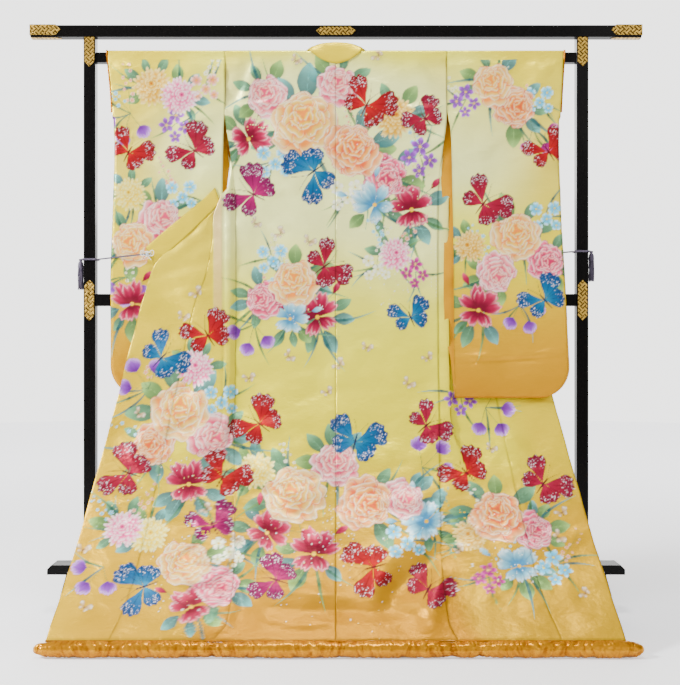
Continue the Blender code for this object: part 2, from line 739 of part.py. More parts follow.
def build_beam_ends():
    """Brass caps over the beam's ends and a strip below each."""
    length = 9.1
    tip = 1.5
    half = BEAM_SIDE / 2
    outer = half + GAP + PLATE
    plate_low = STAND_TOP - 2.95
    plate_top = STAND_TOP + GAP + PLATE
    middle = (plate_low + plate_top) / 2
    high = plate_top - middle
    for side, hand in ((-1, "left"), (1, "right")):
        end = side * (BEAM_HALF + GAP + PLATE)
        inner = side * (BEAM_HALF - length)
        outline = pointed(min(end, inner), max(end, inner), middle, high,
                          0.0 if side < 0 else tip, tip if side < 0 else 0.0)
        cap = prism("cap_" + hand, outline, 1, -outer, outer, BRASS)
        hollow_x = sorted((side * (BEAM_HALF + GAP), side * (BEAM_HALF - length - 2.0)))
        hollow_z = (plate_low - 1.0, STAND_TOP + GAP)
        inside = half + GAP
        hollow = box("cap_" + hand + "_hollow", hollow_x, (-inside, inside), hollow_z, BRASS, 0.0)
        boolean(cap, hollow, "DIFFERENCE")
        under_top = STAND_TOP - BEAM_SIDE - GAP
        strip = pointed(min(side * BEAM_HALF, inner), max(side * BEAM_HALF, inner), 0.0, 1.3,
                        0.0 if side < 0 else tip, tip if side < 0 else 0.0)
        prism("strip_" + hand, strip, 2, under_top - PLATE, under_top, BRASS)


# ---------------------------------------------------------------- ties
BAND_RADIUS = 0.3
RUN_RADIUS = 0.24
BAND_Z = {-1: 105.3, 1: 107.7}
CLIP_PLACE = {-1: (55.6, -4.73, 106.6), 1: (54.9, -0.87, 106.4)}
RUN_END = {-1: (70.86, -1.55), 1: (70.86, -0.3)}


def build_ties():
    for side, word in ((-1, "left"), (1, "right")):
        level = BAND_Z[side]
        half = POST_HALF_DEPTH + BAND_RADIUS + GAP
        centre = (POST_INNER + POST_OUTER) / 2
        path = []
        for k in range(4):
            for turn in (0.0, 0.5, 1.0):
                angle = math.pi / 2 * (k + turn)
                corner = math.pi / 2 * (k + 0.5)
                hub = half - BAND_RADIUS - GAP
                sign_x = 1 if math.cos(corner) > 0 else -1
                sign_y = 1 if math.sin(corner) > 0 else -1
                reach = BAND_RADIUS + GAP + 0.02
                x = centre + sign_x * hub + reach * math.cos(angle)
                y = sign_y * hub + reach * math.sin(angle)
                path.append((x, y, level))
        tube("band_" + word, mirrored(path, side), BAND_RADIUS, 6, CORD, closed=True)
        x, y, z = CLIP_PLACE[side]
        box("clip_" + word, sorted((side * (x - 0.6), side * (x + 0.6))), (y - 0.28, y + 0.28),
            (z - 0.9, z + 0.9), CLIP, 0.12)
        start = (x + 0.6 + 0.1, y, z)
        end = (RUN_END[side][0], RUN_END[side][1], level)
        run = [tuple(Vector(start).lerp(Vector(end), k / 4)) for k in range(5)]
        tube("cord_" + word, mirrored(run, side), RUN_RADIUS, 6, CORD)
        hang = POST_OUTER + GAP + 2 * BAND_RADIUS + GAP + 0.58
        build_tassel("tassel_" + word, side * hang, level + 0.25)


def build_tassel(name, x, top):
    """A knot on a short neck with its strands drawn down from under it."""
    cells = 5
    head_radius = 0.78
    bm = bmesh.new()
    bmesh.ops.create_grid(bm, x_segments=cells, y_segments=cells, size=1.0)
    for vert in bm.verts:
        a, b = vert.co.x, vert.co.y
        vert.co = Vector((a * math.sqrt(1 - b * b / 2), b * math.sqrt(1 - a * a / 2), 0.0))
        vert.co *= head_radius
    under = bm.faces[:]
    rim = [edge for edge in bm.edges if edge.is_boundary]
    profile = ((0.45, 1.02), (0.95, 0.95), (1.3, 0.55), (1.5, 0.42), (1.75, 0.7), (2.0, 0.62))
    ring = rim
    last = 1.0
    for height, share in profile:
        made = bmesh.ops.extrude_edge_only(bm, edges=ring)
        ring = [item for item in made["geom"] if isinstance(item, bmesh.types.BMEdge)]
        verts = [item for item in made["geom"] if isinstance(item, bmesh.types.BMVert)]
        for vert in verts:
            vert.co.x *= share / last
            vert.co.y *= share / last
            vert.co.z = height
        last = share
    bmesh.ops.contextual_create(bm, geom=ring)
    bmesh.ops.inset_individual(bm, faces=under, thickness=0.035)
    strand_steps = ((1.2, 1.12), (3.6, 1.25), (7.0, 1.2))
    for face in under:
        centre = face.calc_center_median()
        reach = Vector((centre.x, centre.y, 0.0))
        length = 1.0 - 0.06 * math.sin(7.0 * centre.x + 11.0 * centre.y)
        done = 0.0
        spread = 1.0
        current = face
        for depth, flare in strand_steps:
            made = bmesh.ops.extrude_discrete_faces(bm, faces=[current])
            tip = made["faces"][0]
            shift = reach * (flare - spread)
            shift.z = -(depth - done) * length
            bmesh.ops.translate(bm, vec=shift, verts=tip.verts[:])
            done = depth
            spread = flare
            current = tip
    height = 2.0
    bmesh.ops.translate(bm, vec=(x, 0.0, top - height), verts=bm.verts[:])
    bmesh.ops.recalc_face_normals(bm, faces=bm.faces[:])
    place(name, bm, CORD)


def build():
    clear_scene()
    display = bpy.data.objects.new("display", None)
    display.location = (0.0, ROD_PLANE_Y * CM, 0.0)
    bpy.context.scene.collection.objects.link(display)
    build_frame()
    build_fittings()
    build_garment()
    build_ties()
    bpy.context.view_layer.update()


build()
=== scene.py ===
"""Looks of an uchikake (wedding kimono) spread back outwards on a lacquered kimono stand.

Every cloth piece is a thin two-faced shell on the form of its solid: satin outside, lining
inside.  The flowers are drawn on canvases in centimetres and laid on the panels as print.
Tables and sizes are in centimetres, measured from the rod's centre plane (y = 0), the middle
of the stand (x = 0) and the floor (z = 0), as in the solids' source.
"""
import math

import bpy
import numpy as np
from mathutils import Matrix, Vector


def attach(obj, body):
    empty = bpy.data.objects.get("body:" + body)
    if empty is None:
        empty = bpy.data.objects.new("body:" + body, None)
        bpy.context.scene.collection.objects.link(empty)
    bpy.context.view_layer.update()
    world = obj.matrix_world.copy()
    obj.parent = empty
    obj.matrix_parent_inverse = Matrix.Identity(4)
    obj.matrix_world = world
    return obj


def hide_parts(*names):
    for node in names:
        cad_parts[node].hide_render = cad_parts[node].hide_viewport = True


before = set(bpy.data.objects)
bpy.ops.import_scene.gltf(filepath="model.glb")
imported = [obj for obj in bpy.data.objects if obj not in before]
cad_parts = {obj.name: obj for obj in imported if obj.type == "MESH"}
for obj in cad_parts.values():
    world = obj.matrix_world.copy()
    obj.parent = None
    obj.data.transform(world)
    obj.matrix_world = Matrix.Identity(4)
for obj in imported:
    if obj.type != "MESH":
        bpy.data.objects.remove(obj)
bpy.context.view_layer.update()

CM = 0.01
ROD_PLANE_Y = 10.98

# ---------------------------------------------------------------- sizes of the solids
POST_INNER = 71.6
POST_OUTER = 75.1
POST_HALF_DEPTH = 1.75
BEAM_SIDE = 3.5
GAP = 0.03
WALL = 0.13
COLLAR_WALL = 0.28
SHOULDER_Z = 167.45
ROD_SIDE_Y = 1.8
CORNER = 0.5
DRAPE_TOP = 165.0
HEM_Z = 4.42
HEM_SWEEP = 47.8
SWEEP_POWER = 4.0
NECK_HALF = 9.2
NECK_DIP = 4.6
JOINED = 8.0
OKUMI_WIDTH = 16.0
SLEEVE_WIDTH = 34.0
COLLAR_END_WIDTH = 5.4
COLLAR_END_RUN = 26.0
SHOULDER_HALF = 33.0
CUFF_Z = 149.0
SLEEVE_Z = 64.4
SLEEVE_CORNER = 9.5
SLEEVE_FOLD_Z = 147.0
ROLL_Y = -50.2
ROLL_Z = 2.17
CUFF_RADIUS = 0.3
BAND_RADIUS = 0.3
BAND_Z = {-1: 105.3, 1: 107.7}
CLIP_PLACE = {-1: (55.6, -4.73, 106.6), 1: (54.9, -0.87, 106.4)}
RUN_END = {-1: (70.86, -1.55), 1: (70.86, -0.3)}
WORDS = {-1: "left", 1: "right"}
SIDE_COLUMN = {-1: 1, 1: 2}
INNER_COLUMN = {
    # side, rear layer: column of the sleeves' table
    (-1, False): 3, (1, False): 4, (1, True): 5, (-1, True): 6,
}

BACK_WIDTH = (
    # z, left, right
    (167.5, 33.0, 33.0),
    (150.0, 33.0, 33.0),
    (136.0, 31.3, 31.6),
    (122.0, 29.9, 30.3),
    (84.0, 29.6, 30.1),
    (55.0, 29.4, 29.8),
    (17.0, 27.6, 28.7),
    (8.0, 28.4, 29.3),
    (4.42, 31.4, 31.2),
)
SLEEVE_EDGES = (
    # z, left_outer, right_outer, left_inner, right_inner, right_lining_inner, left_lining_inner
    (167.5, 67.9, 67.7, 33.03, 33.03, 33.03, 33.03),
    (150.7, 66.4, 66.7, 33.03, 33.03, 33.03, 33.03),
    (144.0, 66.2, 66.5, 33.4, 33.9, 31.6, 31.9),
    (140.0, 66.0, 66.4, 33.5, 34.2, 31.2, 31.5),
    (128.0, 66.2, 66.7, 33.7, 34.5, 31.4, 32.4),
    (117.0, 66.5, 67.0, 33.8, 34.7, 32.2, 33.8),
    (96.0, 67.0, 68.0, 33.9, 34.8, 31.9, 33.9),
    (84.0, 66.9, 68.3, 34.0, 34.7, 32.2, 34.0),
    (75.0, 66.9, 68.4, 34.0, 34.6, 33.7, 34.0),
    (64.4, 66.9, 68.4, 34.0, 34.5, 34.5, 34.0),
)
FRONT_ROWS = (
    # side_x, side_off, side_z, seam_x, seam_z, edge_x, left_off, right_off, edge_z, pleat
    (33.0, 1.82, 167.45, 9.2, 167.45, 9.2, 1.82, 1.82, 167.45, 0.0),
    (33.0, 3.10, 167.45, 9.2, 167.45, 9.2, 3.10, 3.10, 167.45, 0.0),
    (33.0, 3.45, 167.30, 9.2, 167.30, 9.2, 3.45, 3.45, 167.30, 0.0),
    (33.0, 3.60, 166.90, 9.2, 166.90, 9.2, 3.60, 3.60, 166.90, 0.0),
    (33.0, 3.65, 162.5, 9.4, 162.0, 9.4, 3.70, 3.70, 162.0, 0.0),
    (33.0, 3.75, 156.5, 10.4, 154.5, 10.4, 4.10, 4.10, 154.5, 0.0),
    (33.0, 3.80, 151.0, 14.0, 147.0, 14.0, 4.50, 4.50, 147.0, 0.0),
    (33.0, 3.40, 146.5, 20.0, 139.5, 20.0, 4.80, 4.80, 139.5, 0.0),
    (32.9, 2.60, 142.0, 26.0, 133.0, 26.0, 4.20, 4.60, 133.0, 0.0),
    (32.4, 1.20, 137.5, 30.0, 127.8, 30.0, 2.30, 3.70, 127.8, 0.0),
    (None, 0.20, 133.0, 32.7, 122.7, 33.3, -0.70, 1.90, 123.0, 0.0),
    (None, 0.20, 128.5, 34.3, 121.0, 37.6, -1.15, 1.62, 118.5, 0.5),
    (None, 0.20, 124.0, 36.2, 118.6, 42.0, -1.60, 1.35, 114.0, 1.0),
    (None, 0.20, 113.5, 36.6, 110.4, 53.5, -1.60, 1.30, 103.3, 1.0),
    (None, 0.20, 104.0, 38.2, 101.0, 56.2, -1.60, 1.30, 95.0, 1.0),
    (None, 0.20, 95.0, 41.6, 91.4, 58.5, -1.55, 1.30, 86.5, 1.0),
    (None, 0.20, 84.0, 43.8, 81.0, 60.6, -1.45, 1.30, 77.5, 1.0),
    (None, 0.20, 72.0, 45.8, 69.5, 62.8, -1.30, 1.30, 67.0, 1.0),
    (None, 0.20, 60.0, 47.8, 58.2, 65.0, -1.10, 1.20, 56.5, 1.0),
    (None, 0.20, 48.0, 49.5, 46.9, 67.2, -0.90, 0.90, 46.0, 0.4),
    (None, 0.20, 37.0, 51.1, 36.4, 69.0, -0.65, 0.50, 36.0, 0.0),
    (None, 0.20, 27.0, 52.5, 26.7, 70.6, -0.40, 0.25, 26.5, 0.0),
    (None, 0.20, 18.0, 53.9, 17.9, 72.1, -0.20, 0.10, 17.8, 0.0),
    (None, 0.20, 11.0, 55.5, 11.0, 73.1, -0.05, 0.02, 11.0, 0.0),
    (None, 0.20, 7.0, 57.0, 7.0, 73.8, 0.0, 0.0, 7.0, 0.0),
    (None, 0.20, HEM_Z, 57.9, HEM_Z, 74.1, 0.0, 0.0, HEM_Z, 0.0),
)
SEAM_FIRST_ROW = 10
OKUMI_FIRST_ROW = 11
SEAM_LAP = 0.2
LEFT_PLEAT = (
    # beyond_side, off, drop
    (0.45, 0.20, 0.15),
    (1.4, -0.9, 0.5),
    (2.6, -1.35, 0.9),
    (3.5, -1.2, 1.2),
    (4.4, -1.5, 1.5),
)
RIGHT_PLEAT = (
    # beyond_side, off, drop
    (1.4, 0.20, 0.2),
    (2.7, 0.10, 0.4),
    (3.6, 0.25, 0.4),
    (0.9, 0.92, 0.4),
    (2.6, 1.50, 0.6),
)
COLLAR_NECK = (
    # seam_x, free_x, free_y, free_z
    (0.0, 0.0, -1.55, 169.9),
    (3.2, 2.9, -1.5, 169.75),
    (5.4, 4.9, -1.3, 169.45),
    (6.8, 6.1, -1.0, 169.15),
    (7.3, 6.5, -0.8, 169.0),
    (7.8, 6.9, -0.6, 168.9),
    (8.5, 7.4, 0.0, 168.75),
)
COLLAR_FALL = (
    # seam_x, seam_y, seam_z, free_x, free_y, free_z
    (8.95, 0.6, 167.9, 7.4, 1.4, 168.6),
    (8.95, 1.9, 167.5, 6.6, 2.7, 167.4),
    (8.9, 2.25, 162.5, 4.1, 3.1, 161.2),
    (9.9, 2.55, 154.5, 5.1, 3.6, 152.2),
    (13.6, 3.0, 146.5, 9.2, 4.2, 143.2),
    (19.6, 3.3, 139.0, 15.6, 4.7, 134.9),
    (25.5, 3.1, 132.3, 22.2, 4.9, 128.0),
    (28.8, 2.6, 128.3, 26.4, 4.8, 124.4),
)
COLLAR_SEAM_LIFT = 0.32
COLLAR_SEAM_LAP = 0.9
COLLAR_ENDS = (
    # seam_x, seam_z, free_x, free_z, left_off, right_off
    (34.36, 122.02, 35.9, 126.4, -0.82, 1.84),
    (37.66, 118.57, 39.4, 122.9, -1.15, 1.62),
    (42.06, 114.07, 44.4, 118.7, -1.6, 1.35),
    (47.86, 108.67, 50.3, 113.8, -1.6, 1.33),
    (53.56, 103.37, 56.2, 108.6, -1.6, 1.30),
)
ROLL_ROWS = (
    # x, radius
    (-77.1, 0.6), (-76.4, 1.2), (-74.8, 1.7), (-72.0, 1.95), (-66.0, 2.12), (-57.9, 2.0),
    (-52.0, 2.15), (-38.0, 2.1), (-31.5, 1.8), (-25.0, 2.1), (-10.0, 2.15), (0.8, 2.0),
    (12.0, 2.15), (24.0, 2.1), (29.5, 1.9), (33.0, 2.15), (36.5, 1.9), (46.0, 2.15),
    (58.5, 2.0), (68.0, 2.15), (74.0, 2.12), (76.6, 1.85), (77.9, 1.2), (78.4, 0.5),
)

# ---------------------------------------------------------------- colours (sRGB bases)
CREAM = (244, 248, 160)
PALE = (238, 230, 64)
LEMON = (236, 218, 14)
YELLOW = (232, 204, 6)
GOLD = (214, 162, 4)
DEEP_GOLD = (192, 130, 0)
LINING_GOLD = (204, 142, 4)
ROLL_GOLD = (186, 122, 0)
PLEAT_HOLLOW_SHADE = (232, 176, 110)
CUFF_ORANGE = (204, 120, 4)
CORD_TONE = (74, 66, 84)
PEARL = (246, 242, 236)
GEM = (190, 214, 230)
CLIP_PLATE = (214, 208, 198)
NAIL_BRASS = (200, 150, 60)
SILVER = (236, 226, 230)
BODY_DARK = (50, 14, 32)
PETAL_SHEEN = (248, 248, 230)
STEM_GREEN = (74, 110, 68)
STEM_TIP = (110, 152, 80)
DUST_TONES = ((248, 248, 236), (248, 224, 120), (226, 236, 240))


def linear(colour):
    """An sRGB colour of 0 to 255 as linear light."""
    value = np.asarray(colour, float) / 255.0
    return np.where(value <= 0.04045, value / 12.92, ((value + 0.055) / 1.055) ** 2.4)


# ---------------------------------------------------------------- number helpers
def blend(a, b, t):
    return a + (b - a) * t


def tone_between(first, second, share):
    return tuple(blend(np.array(first), np.array(second), share))


def points_of(x, y, z):
    """Points from coordinates that are stretched to one shape."""
    return np.stack(np.broadcast_arrays(x, y, z), axis=-1).astype(float)


def unit(vectors):
    return vectors / np.maximum(np.linalg.norm(vectors, axis=-1, keepdims=True), 1e-9)


def run_along(points):
    """The length of a broken line up to each of its points."""
    return np.concatenate([[0.0], np.cumsum(np.linalg.norm(np.diff(points, axis=0), axis=1))])


def turns(sides):
    """Angles round a circle."""
    return 2 * math.pi * np.arange(sides) / sides


def fractions(counts, first=0):
    """Places along a row of spans from the first, each cut into its count of equal steps."""
    places = [first + span + k / count for span, count in enumerate(counts) for k in range(count)]
    return np.array(places + [first + len(counts)], float)


def smooth_step(low, high, value):
    t = np.clip((np.asarray(value, float) - low) / (high - low), 0.0, 1.0)
    return t * t * (3.0 - 2.0 * t)


def monotone(keys, data, values):
    """A smooth curve through the rows of data at rising keys, without overshoot."""
    keys = np.asarray(keys, float)
    data = np.asarray(data, float)
    shape = (-1,) + (1,) * (data.ndim - 1)
    steps = np.diff(keys).reshape(shape)
    slope = np.diff(data, axis=0) / steps
    tangent = np.zeros_like(data)
    tangent[0] = slope[0]
    tangent[-1] = slope[-1]
    product = slope[:-1] * slope[1:]
    total = slope[:-1] + slope[1:]
    rising = product > 0.0
    tangent[1:-1][rising] = 2.0 * product[rising] / total[rising]
    value = np.clip(np.asarray(values, float), keys[0], keys[-1])
    spot = np.clip(np.searchsorted(keys, value, side="right") - 1, 0, len(keys) - 2)
    span = np.diff(keys)[spot]
    t = (value - keys[spot]) / span
    if data.ndim > 1:
        t = t.reshape(shape)
        span = span.reshape(shape)
    rise = data[spot] * (1 + 2 * t) * (1 - t) ** 2 + data[spot + 1] * t * t * (3 - 2 * t)
    bend = tangent[spot] * t * (1 - t) ** 2 - tangent[spot + 1] * t * t * (1 - t)
    return rise + span * bend


def along(rows, column, value, key=0):
    """Read a column of a table at key values."""
    keys = np.array([row[key] for row in rows], float)
    data = np.array([row[column] for row in rows], float)
    if keys[0] > keys[-1]:
        keys = keys[::-1]
        data = data[::-1]
    shape = np.shape(value)
    return monotone(keys, data, np.ravel(value)).reshape(shape)


# ---------------------------------------------------------------- seeds and noise
LATTICE = 64
NECK_FOLD_SEED = 31
BODY_SEED = 3
CENTRE_PUCKER_SEED = 11
SIDE_PUCKER_SEED = 13
SLEEVE_SEED = 21
GROUND_SEED = 41
ROLL_SEED = 71
BODY_BOUQUET_SEED = 200
BODY_BUTTERFLY_SEED = 300
SLEEVE_BOUQUET_SEED = 400
SLEEVE_BUTTERFLY_SEED = 500
BOUQUET_SEED_STEP = 7
BUTTERFLY_SEED_STEP = 5
DUST_SEED = 77
TASSEL_SEED = 600


def noise(u, v, seed):
    """Smooth repeatable noise from -1 to 1 with cells of size 1."""
    table = np.random.default_rng(seed).uniform(-1.0, 1.0, (LATTICE, LATTICE))
    u = np.asarray(u, float)
    v = np.asarray(v, float)
    iu = np.floor(u).astype(int)
    iv = np.floor(v).astype(int)
    fu = u - iu
    fv = v - iv
    fu = fu * fu * (3 - 2 * fu)
    fv = fv * fv * (3 - 2 * fv)

    def corner(a, b):
        return table[(iu + a) % LATTICE, (iv + b) % LATTICE]

    low = corner(0, 0) * (1 - fu) + corner(1, 0) * fu
    high = corner(0, 1) * (1 - fu) + corner(1, 1) * fu
    return low * (1 - fv) + high * fv


def spaced(length, step, fine=0.12):
    """Positions from 0 to length, close together by both ends and a step apart between."""
    near = [0.0, fine, 2.2 * fine, 4 * fine, 6.5 * fine, 10 * fine]
    near = [place for place in near if place < length / 3]
    first = near[-1]
    count = max(2, int(round((length - 2 * first) / step)))
    middle = np.linspace(first, length - first, count + 1)
    return np.concatenate([near[:-1], middle, length - np.array(near[:-1][::-1])])


# ---------------------------------------------------------------- the cloth's forms
def drape(z):
    """Depth (y) of the hanging cloth's plain form at a height."""
    fall = np.clip((DRAPE_TOP - z) / (DRAPE_TOP - HEM_Z), 0.0, 1.0)
    return -ROD_SIDE_Y - HEM_SWEEP * fall ** SWEEP_POWER


LEVELS = np.linspace(HEM_Z, DRAPE_TOP, 400)
RUNS = np.concatenate([[0.0], np.cumsum(np.hypot(np.diff(drape(LEVELS)), np.diff(LEVELS)))])


def cloth_height(z):
    """A height measured along the hanging cloth: equal to z at the rod, longer below."""
    return DRAPE_TOP - (RUNS[-1] - np.interp(z, LEVELS, RUNS)) + np.maximum(z - DRAPE_TOP, 0.0)


def height_of(cloth_z):
    """The height above the floor of a height measured along the cloth."""
    return np.interp(cloth_z, cloth_height(LEVELS), LEVELS)


def over_rod(length):
    """(y, z) at a length of cloth from the crest over the rod, down the -Y side."""
    length = np.asarray(length, float)
    flat = ROD_SIDE_Y - CORNER
    arc = CORNER * math.pi / 2
    angle = np.clip((length - flat) / CORNER, 0.0, math.pi / 2)
    y = -np.minimum(length, flat) - CORNER * np.sin(angle)
    z = SHOULDER_Z - CORNER * (1 - np.cos(angle)) - np.maximum(length - flat - arc, 0.0)
    hang = length > flat + arc
    return np.where(hang, drape(z), y), z


def neck_cut(x):
    """How far the neck is cut down at a distance from the middle."""
    return NECK_DIP * np.maximum(0.0, 1.0 - (np.abs(x) / NECK_HALF) ** 2.2)


def tilt(z):
    """Length of cloth for each centimetre of height."""
    step = 0.5
    return np.hypot(1.0, (drape(z + step) - drape(z)) / step)


# soft creases, each a long low ridge (or hollow where the lift is negative)
BODY_CREASES = (
    # x0, z0, x1, z1, half_width, lift
    (-21.0, 166.0, -30.5, 143.0, 2.6, 0.17),
    (-25.5, 165.0, -32.5, 150.0, 1.7, -0.22),
    (-31.0, 149.0, -20.0, 151.5, 1.3, 0.20),
    (-30.5, 146.0, -17.0, 143.5, 1.2, -0.16),
    (-29.0, 139.5, -18.0, 137.0, 1.4, 0.14),
    (31.0, 149.5, 18.0, 151.0, 1.4, 0.20),
    (31.5, 144.0, 21.0, 141.0, 1.2, -0.15),
    (30.0, 134.5, 19.0, 133.0, 1.5, 0.13),
    (20.0, 166.0, 30.0, 155.0, 2.2, 0.16),
    (-6.0, 160.0, -14.0, 150.0, 2.4, 0.10),
    (7.0, 160.0, 17.0, 149.0, 2.6, 0.10),
    (-25.0, 47.0, -11.0, 33.0, 3.0, 0.55),
    (-20.0, 41.0, -7.0, 28.0, 2.4, -0.40),
    (-27.0, 60.0, -16.0, 52.0, 2.4, 0.22),
    (27.0, 24.0, 14.0, 9.0, 3.4, -0.95),
    (22.0, 27.0, 9.0, 14.0, 3.0, 0.65),
    (30.0, 19.0, 22.0, 7.5, 2.6, 0.60),
    (-24.0, 15.0, 27.0, 11.5, 1.5, 0.28),
    (-20.0, 11.5, 24.0, 8.5, 1.2, -0.24),
    (-14.0, 8.0, 12.0, 7.0, 1.0, 0.18),
    (-30.0, 28.0, -24.0, 12.0, 2.0, -0.25),
    (28.0, 72.0, 20.0, 66.0, 1.8, 0.14),
    (30.0, 52.0, 23.0, 48.5, 1.5, 0.22),
    (30.0, 38.0, 24.0, 35.5, 1.4, -0.16),
    # the left front
    (-37.5, 116.0, -52.0, 104.0, 1.7, 0.16),
    (-36.0, 106.0, -53.0, 99.0, 1.7, -0.16),
    (-36.0, 96.0, -54.0, 92.0, 1.9, 0.14),
    (-38.0, 70.0, -55.0, 63.0, 2.2, -0.20),
    (-40.0, 60.0, -58.0, 50.0, 2.4, 0.26),
    (-33.0, 31.0, -45.0, 25.0, 1.8, 0.42),
    (-34.0, 27.0, -46.0, 30.5, 1.5, -0.34),
    (-31.0, 19.0, -41.0, 17.0, 1.5, 0.34),
    (-31.0, 13.5, -39.0, 12.0, 1.2, -0.22),
    (-62.0, 52.0, -51.0, 40.0, 2.0, 0.20),
    # the right front
    (39.0, 60.0, 55.0, 50.0, 2.0, 0.22),
    (47.0, 58.0, 61.0, 63.0, 1.6, 0.20),
    (50.0, 44.0, 63.0, 37.0, 2.0, 0.26),
    (53.0, 36.0, 66.0, 30.0, 1.7, -0.22),
    (53.0, 25.0, 67.0, 27.5, 1.6, 0.30),
    (33.0, 33.0, 43.0, 27.0, 1.8, -0.22),
    (32.0, 24.0, 40.0, 22.0, 1.4, 0.26),
)
SLEEVE_CREASES = (
    # x0, z0, x1, z1, half_width, lift
    (-66.0, 166.5, -57.0, 158.0, 2.0, 0.20),
    (-65.0, 153.0, -55.0, 151.0, 1.3, -0.14),
    (-65.5, 146.0, -54.0, 146.5, 1.2, 0.14),
    (-65.5, 139.0, -57.0, 141.0, 1.1, -0.12),
    (-36.0, 150.0, -47.0, 143.0, 2.3, 0.16),
    (-35.0, 142.0, -44.0, 136.0, 2.0, -0.12),
    (-64.0, 96.0, -52.0, 90.0, 1.9, 0.14),
    (-60.0, 76.0, -45.0, 72.0, 1.8, -0.10),
    (65.5, 164.5, 55.0, 152.0, 2.0, 0.17),
    (60.0, 165.5, 50.0, 157.0, 1.8, -0.15),
    (54.0, 165.5, 46.0, 160.0, 1.6, 0.16),
    (66.0, 143.0, 56.0, 147.0, 1.3, 0.18),
    (66.0, 137.0, 52.0, 141.0, 1.5, -0.16),
    (66.0, 131.5, 57.0, 133.0, 1.2, 0.14),
    (36.0, 149.0, 47.0, 144.0, 1.9, 0.12),
    (35.5, 135.5, 46.0, 138.0, 1.5, 0.10),
    (34.6, 76.2, 68.0, 78.0, 0.75, 0.22),
    (34.6, 74.6, 68.0, 76.4, 0.6, -0.15),
    (40.0, 88.0, 58.0, 85.0, 2.0, 0.10),
    (36.0, 112.0, 40.0, 96.0, 1.6, 0.10),
)


CREASE_LIFT = 3.0


def crease_relief(x, z, creases):
    """Height of all the soft creases together at points."""
    total = np.zeros(np.broadcast(x, z).shape)
    for x0, z0, x1, z1, half_width, lift in creases:
        run_x = x1 - x0
        run_z = z1 - z0
        length = run_x ** 2 + run_z ** 2
        t = ((x - x0) * run_x + (z - z0) * run_z) / length
        far = ((x - x0) * run_z - (z - z0) * run_x) / math.sqrt(length)
        taper = smooth_step(-0.25, 0.3, t) * smooth_step(1.3, 0.65, t)
        far = far + 0.5 * half_width * np.sin(3.0 * t + x0)
        total += CREASE_LIFT * lift * np.exp(-(far / half_width) ** 2) * taper
    return total


def side_width(side, z):
    """Distance of a side seam from the middle at a height."""
    return along(BACK_WIDTH, SIDE_COLUMN[side], z)


def pucker(distance, run, seed, reach=1.5, pitch=1.15):
    """Short ripples across a seam that die away from it."""
    away = np.exp(-(np.abs(distance) / reach) ** 1.3)
    fine = noise(run / pitch, distance * 0.25 + 3.0, seed)
    slow = noise(run / (3.1 * pitch), distance * 0.1 + 9.0, seed + 7)
    return away * (0.65 * fine + 0.35 * slow)


def body_relief(x, z):
    """How far the body's cloth stands forward of its plain form, with folds and creases."""
    low = smooth_step(75.0, 22.0, z) * smooth_step(4.3, 14.0, z)
    inside = smooth_step(0.0, 4.0, side_width(-1, z) - np.abs(x))
    folds = low * (0.45 * np.sin(x * 0.22 + 0.9) + 0.25 * np.sin(x * 0.41 + z * 0.05))
    relief = -folds * inside
    relief = relief + crease_relief(x, z, BODY_CREASES)
    calm = blend(1.0, 0.16, smooth_step(33.0, 36.0, x) * smooth_step(62.0, 68.0, z))
    relief = relief + calm * 0.62 * noise(x / 10.0 + z / 23.0, z / 7.5 - x / 31.0, BODY_SEED)
    relief = relief + calm * 0.26 * noise(x / 5.2 - z / 17.0, z / 3.1 + x / 15.0, BODY_SEED + 1)
    near_side = np.exp(-(np.minimum(np.abs(x), np.abs(np.abs(x) - side_width(-1, z))) / 4.0) ** 2)
    relief = relief + (0.03 + 0.05 * near_side) * noise(x / 2.4 + z / 9.0, z / 1.3, BODY_SEED + 2)
    relief = relief + 0.07 * pucker(x, z, CENTRE_PUCKER_SEED, 1.2, 1.3)
    for side in (-1, 1):
        past = np.abs(x - side * side_width(side, z))
        sewn = smooth_step(136.0, 128.0, z)
        relief = relief + 0.10 * pucker(past, z, SIDE_PUCKER_SEED + side, 1.6) * sewn
    return relief * smooth_step(HEM_Z - 0.5, HEM_Z + 2.5, z)


def centre_valley(x):
    """The centre seam's narrow hollow."""
    return -0.06 * np.exp(-(np.abs(x) / 0.22) ** 1.5)


def back_point(side, length, z, share):
    """Points of a back panel; length is used above the joined line and z below it."""
    if z is None:
        x = blend(GAP / 2, SHOULDER_HALF, share)
        cut = neck_cut(x)
        y, z = over_rod(cut + length * (1 - cut / JOINED))
        relief = np.where(z < 166.6, smooth_step(166.6, 163.0, z), 0.0)
    else:
        width = side_width(side, z)
        x = blend(GAP / 2, width, share)
        y = drape(z)
        relief = 1.0
    x = x * side
    lift = body_relief(x, z) * relief + centre_valley(x)
    return points_of(x, y - lift, z)


JOINED_Z = float(over_rod(JOINED)[1])


def back_panel(side, step):
    """Grid of one back panel at a step in centimetres."""
    shares = spaced(SHOULDER_HALF, step) / SHOULDER_HALF
    corner_step = min(step, 0.26)
    lengths = np.concatenate([
        [0.02], np.arange(0.35, 2.4, corner_step), np.arange(2.5, JOINED, step),
    ])
    top = back_point(side, lengths[:, None], None, shares[None, :])
    runs = np.arange(cloth_height(JOINED_Z), cloth_height(HEM_Z), -step)
    levels = height_of(np.append(runs, cloth_height(HEM_Z)))
    low = back_point(side, None, levels[:, None], shares[None, :])
    return np.concatenate([top, low])


def front_table(side):
    """The front's rows as numbers, with the side seam on the back panel's edge."""
    rows = []
    for row in FRONT_ROWS:
        side_x, side_off, side_z = row[:3]
        if side_x is None:
            side_x = float(side_width(side, side_z)) - SEAM_LAP
            side_off = side_off * float(tilt(side_z))
        rows.append([side_x, side_off, side_z, *row[3:]])
    return np.array(rows, float)


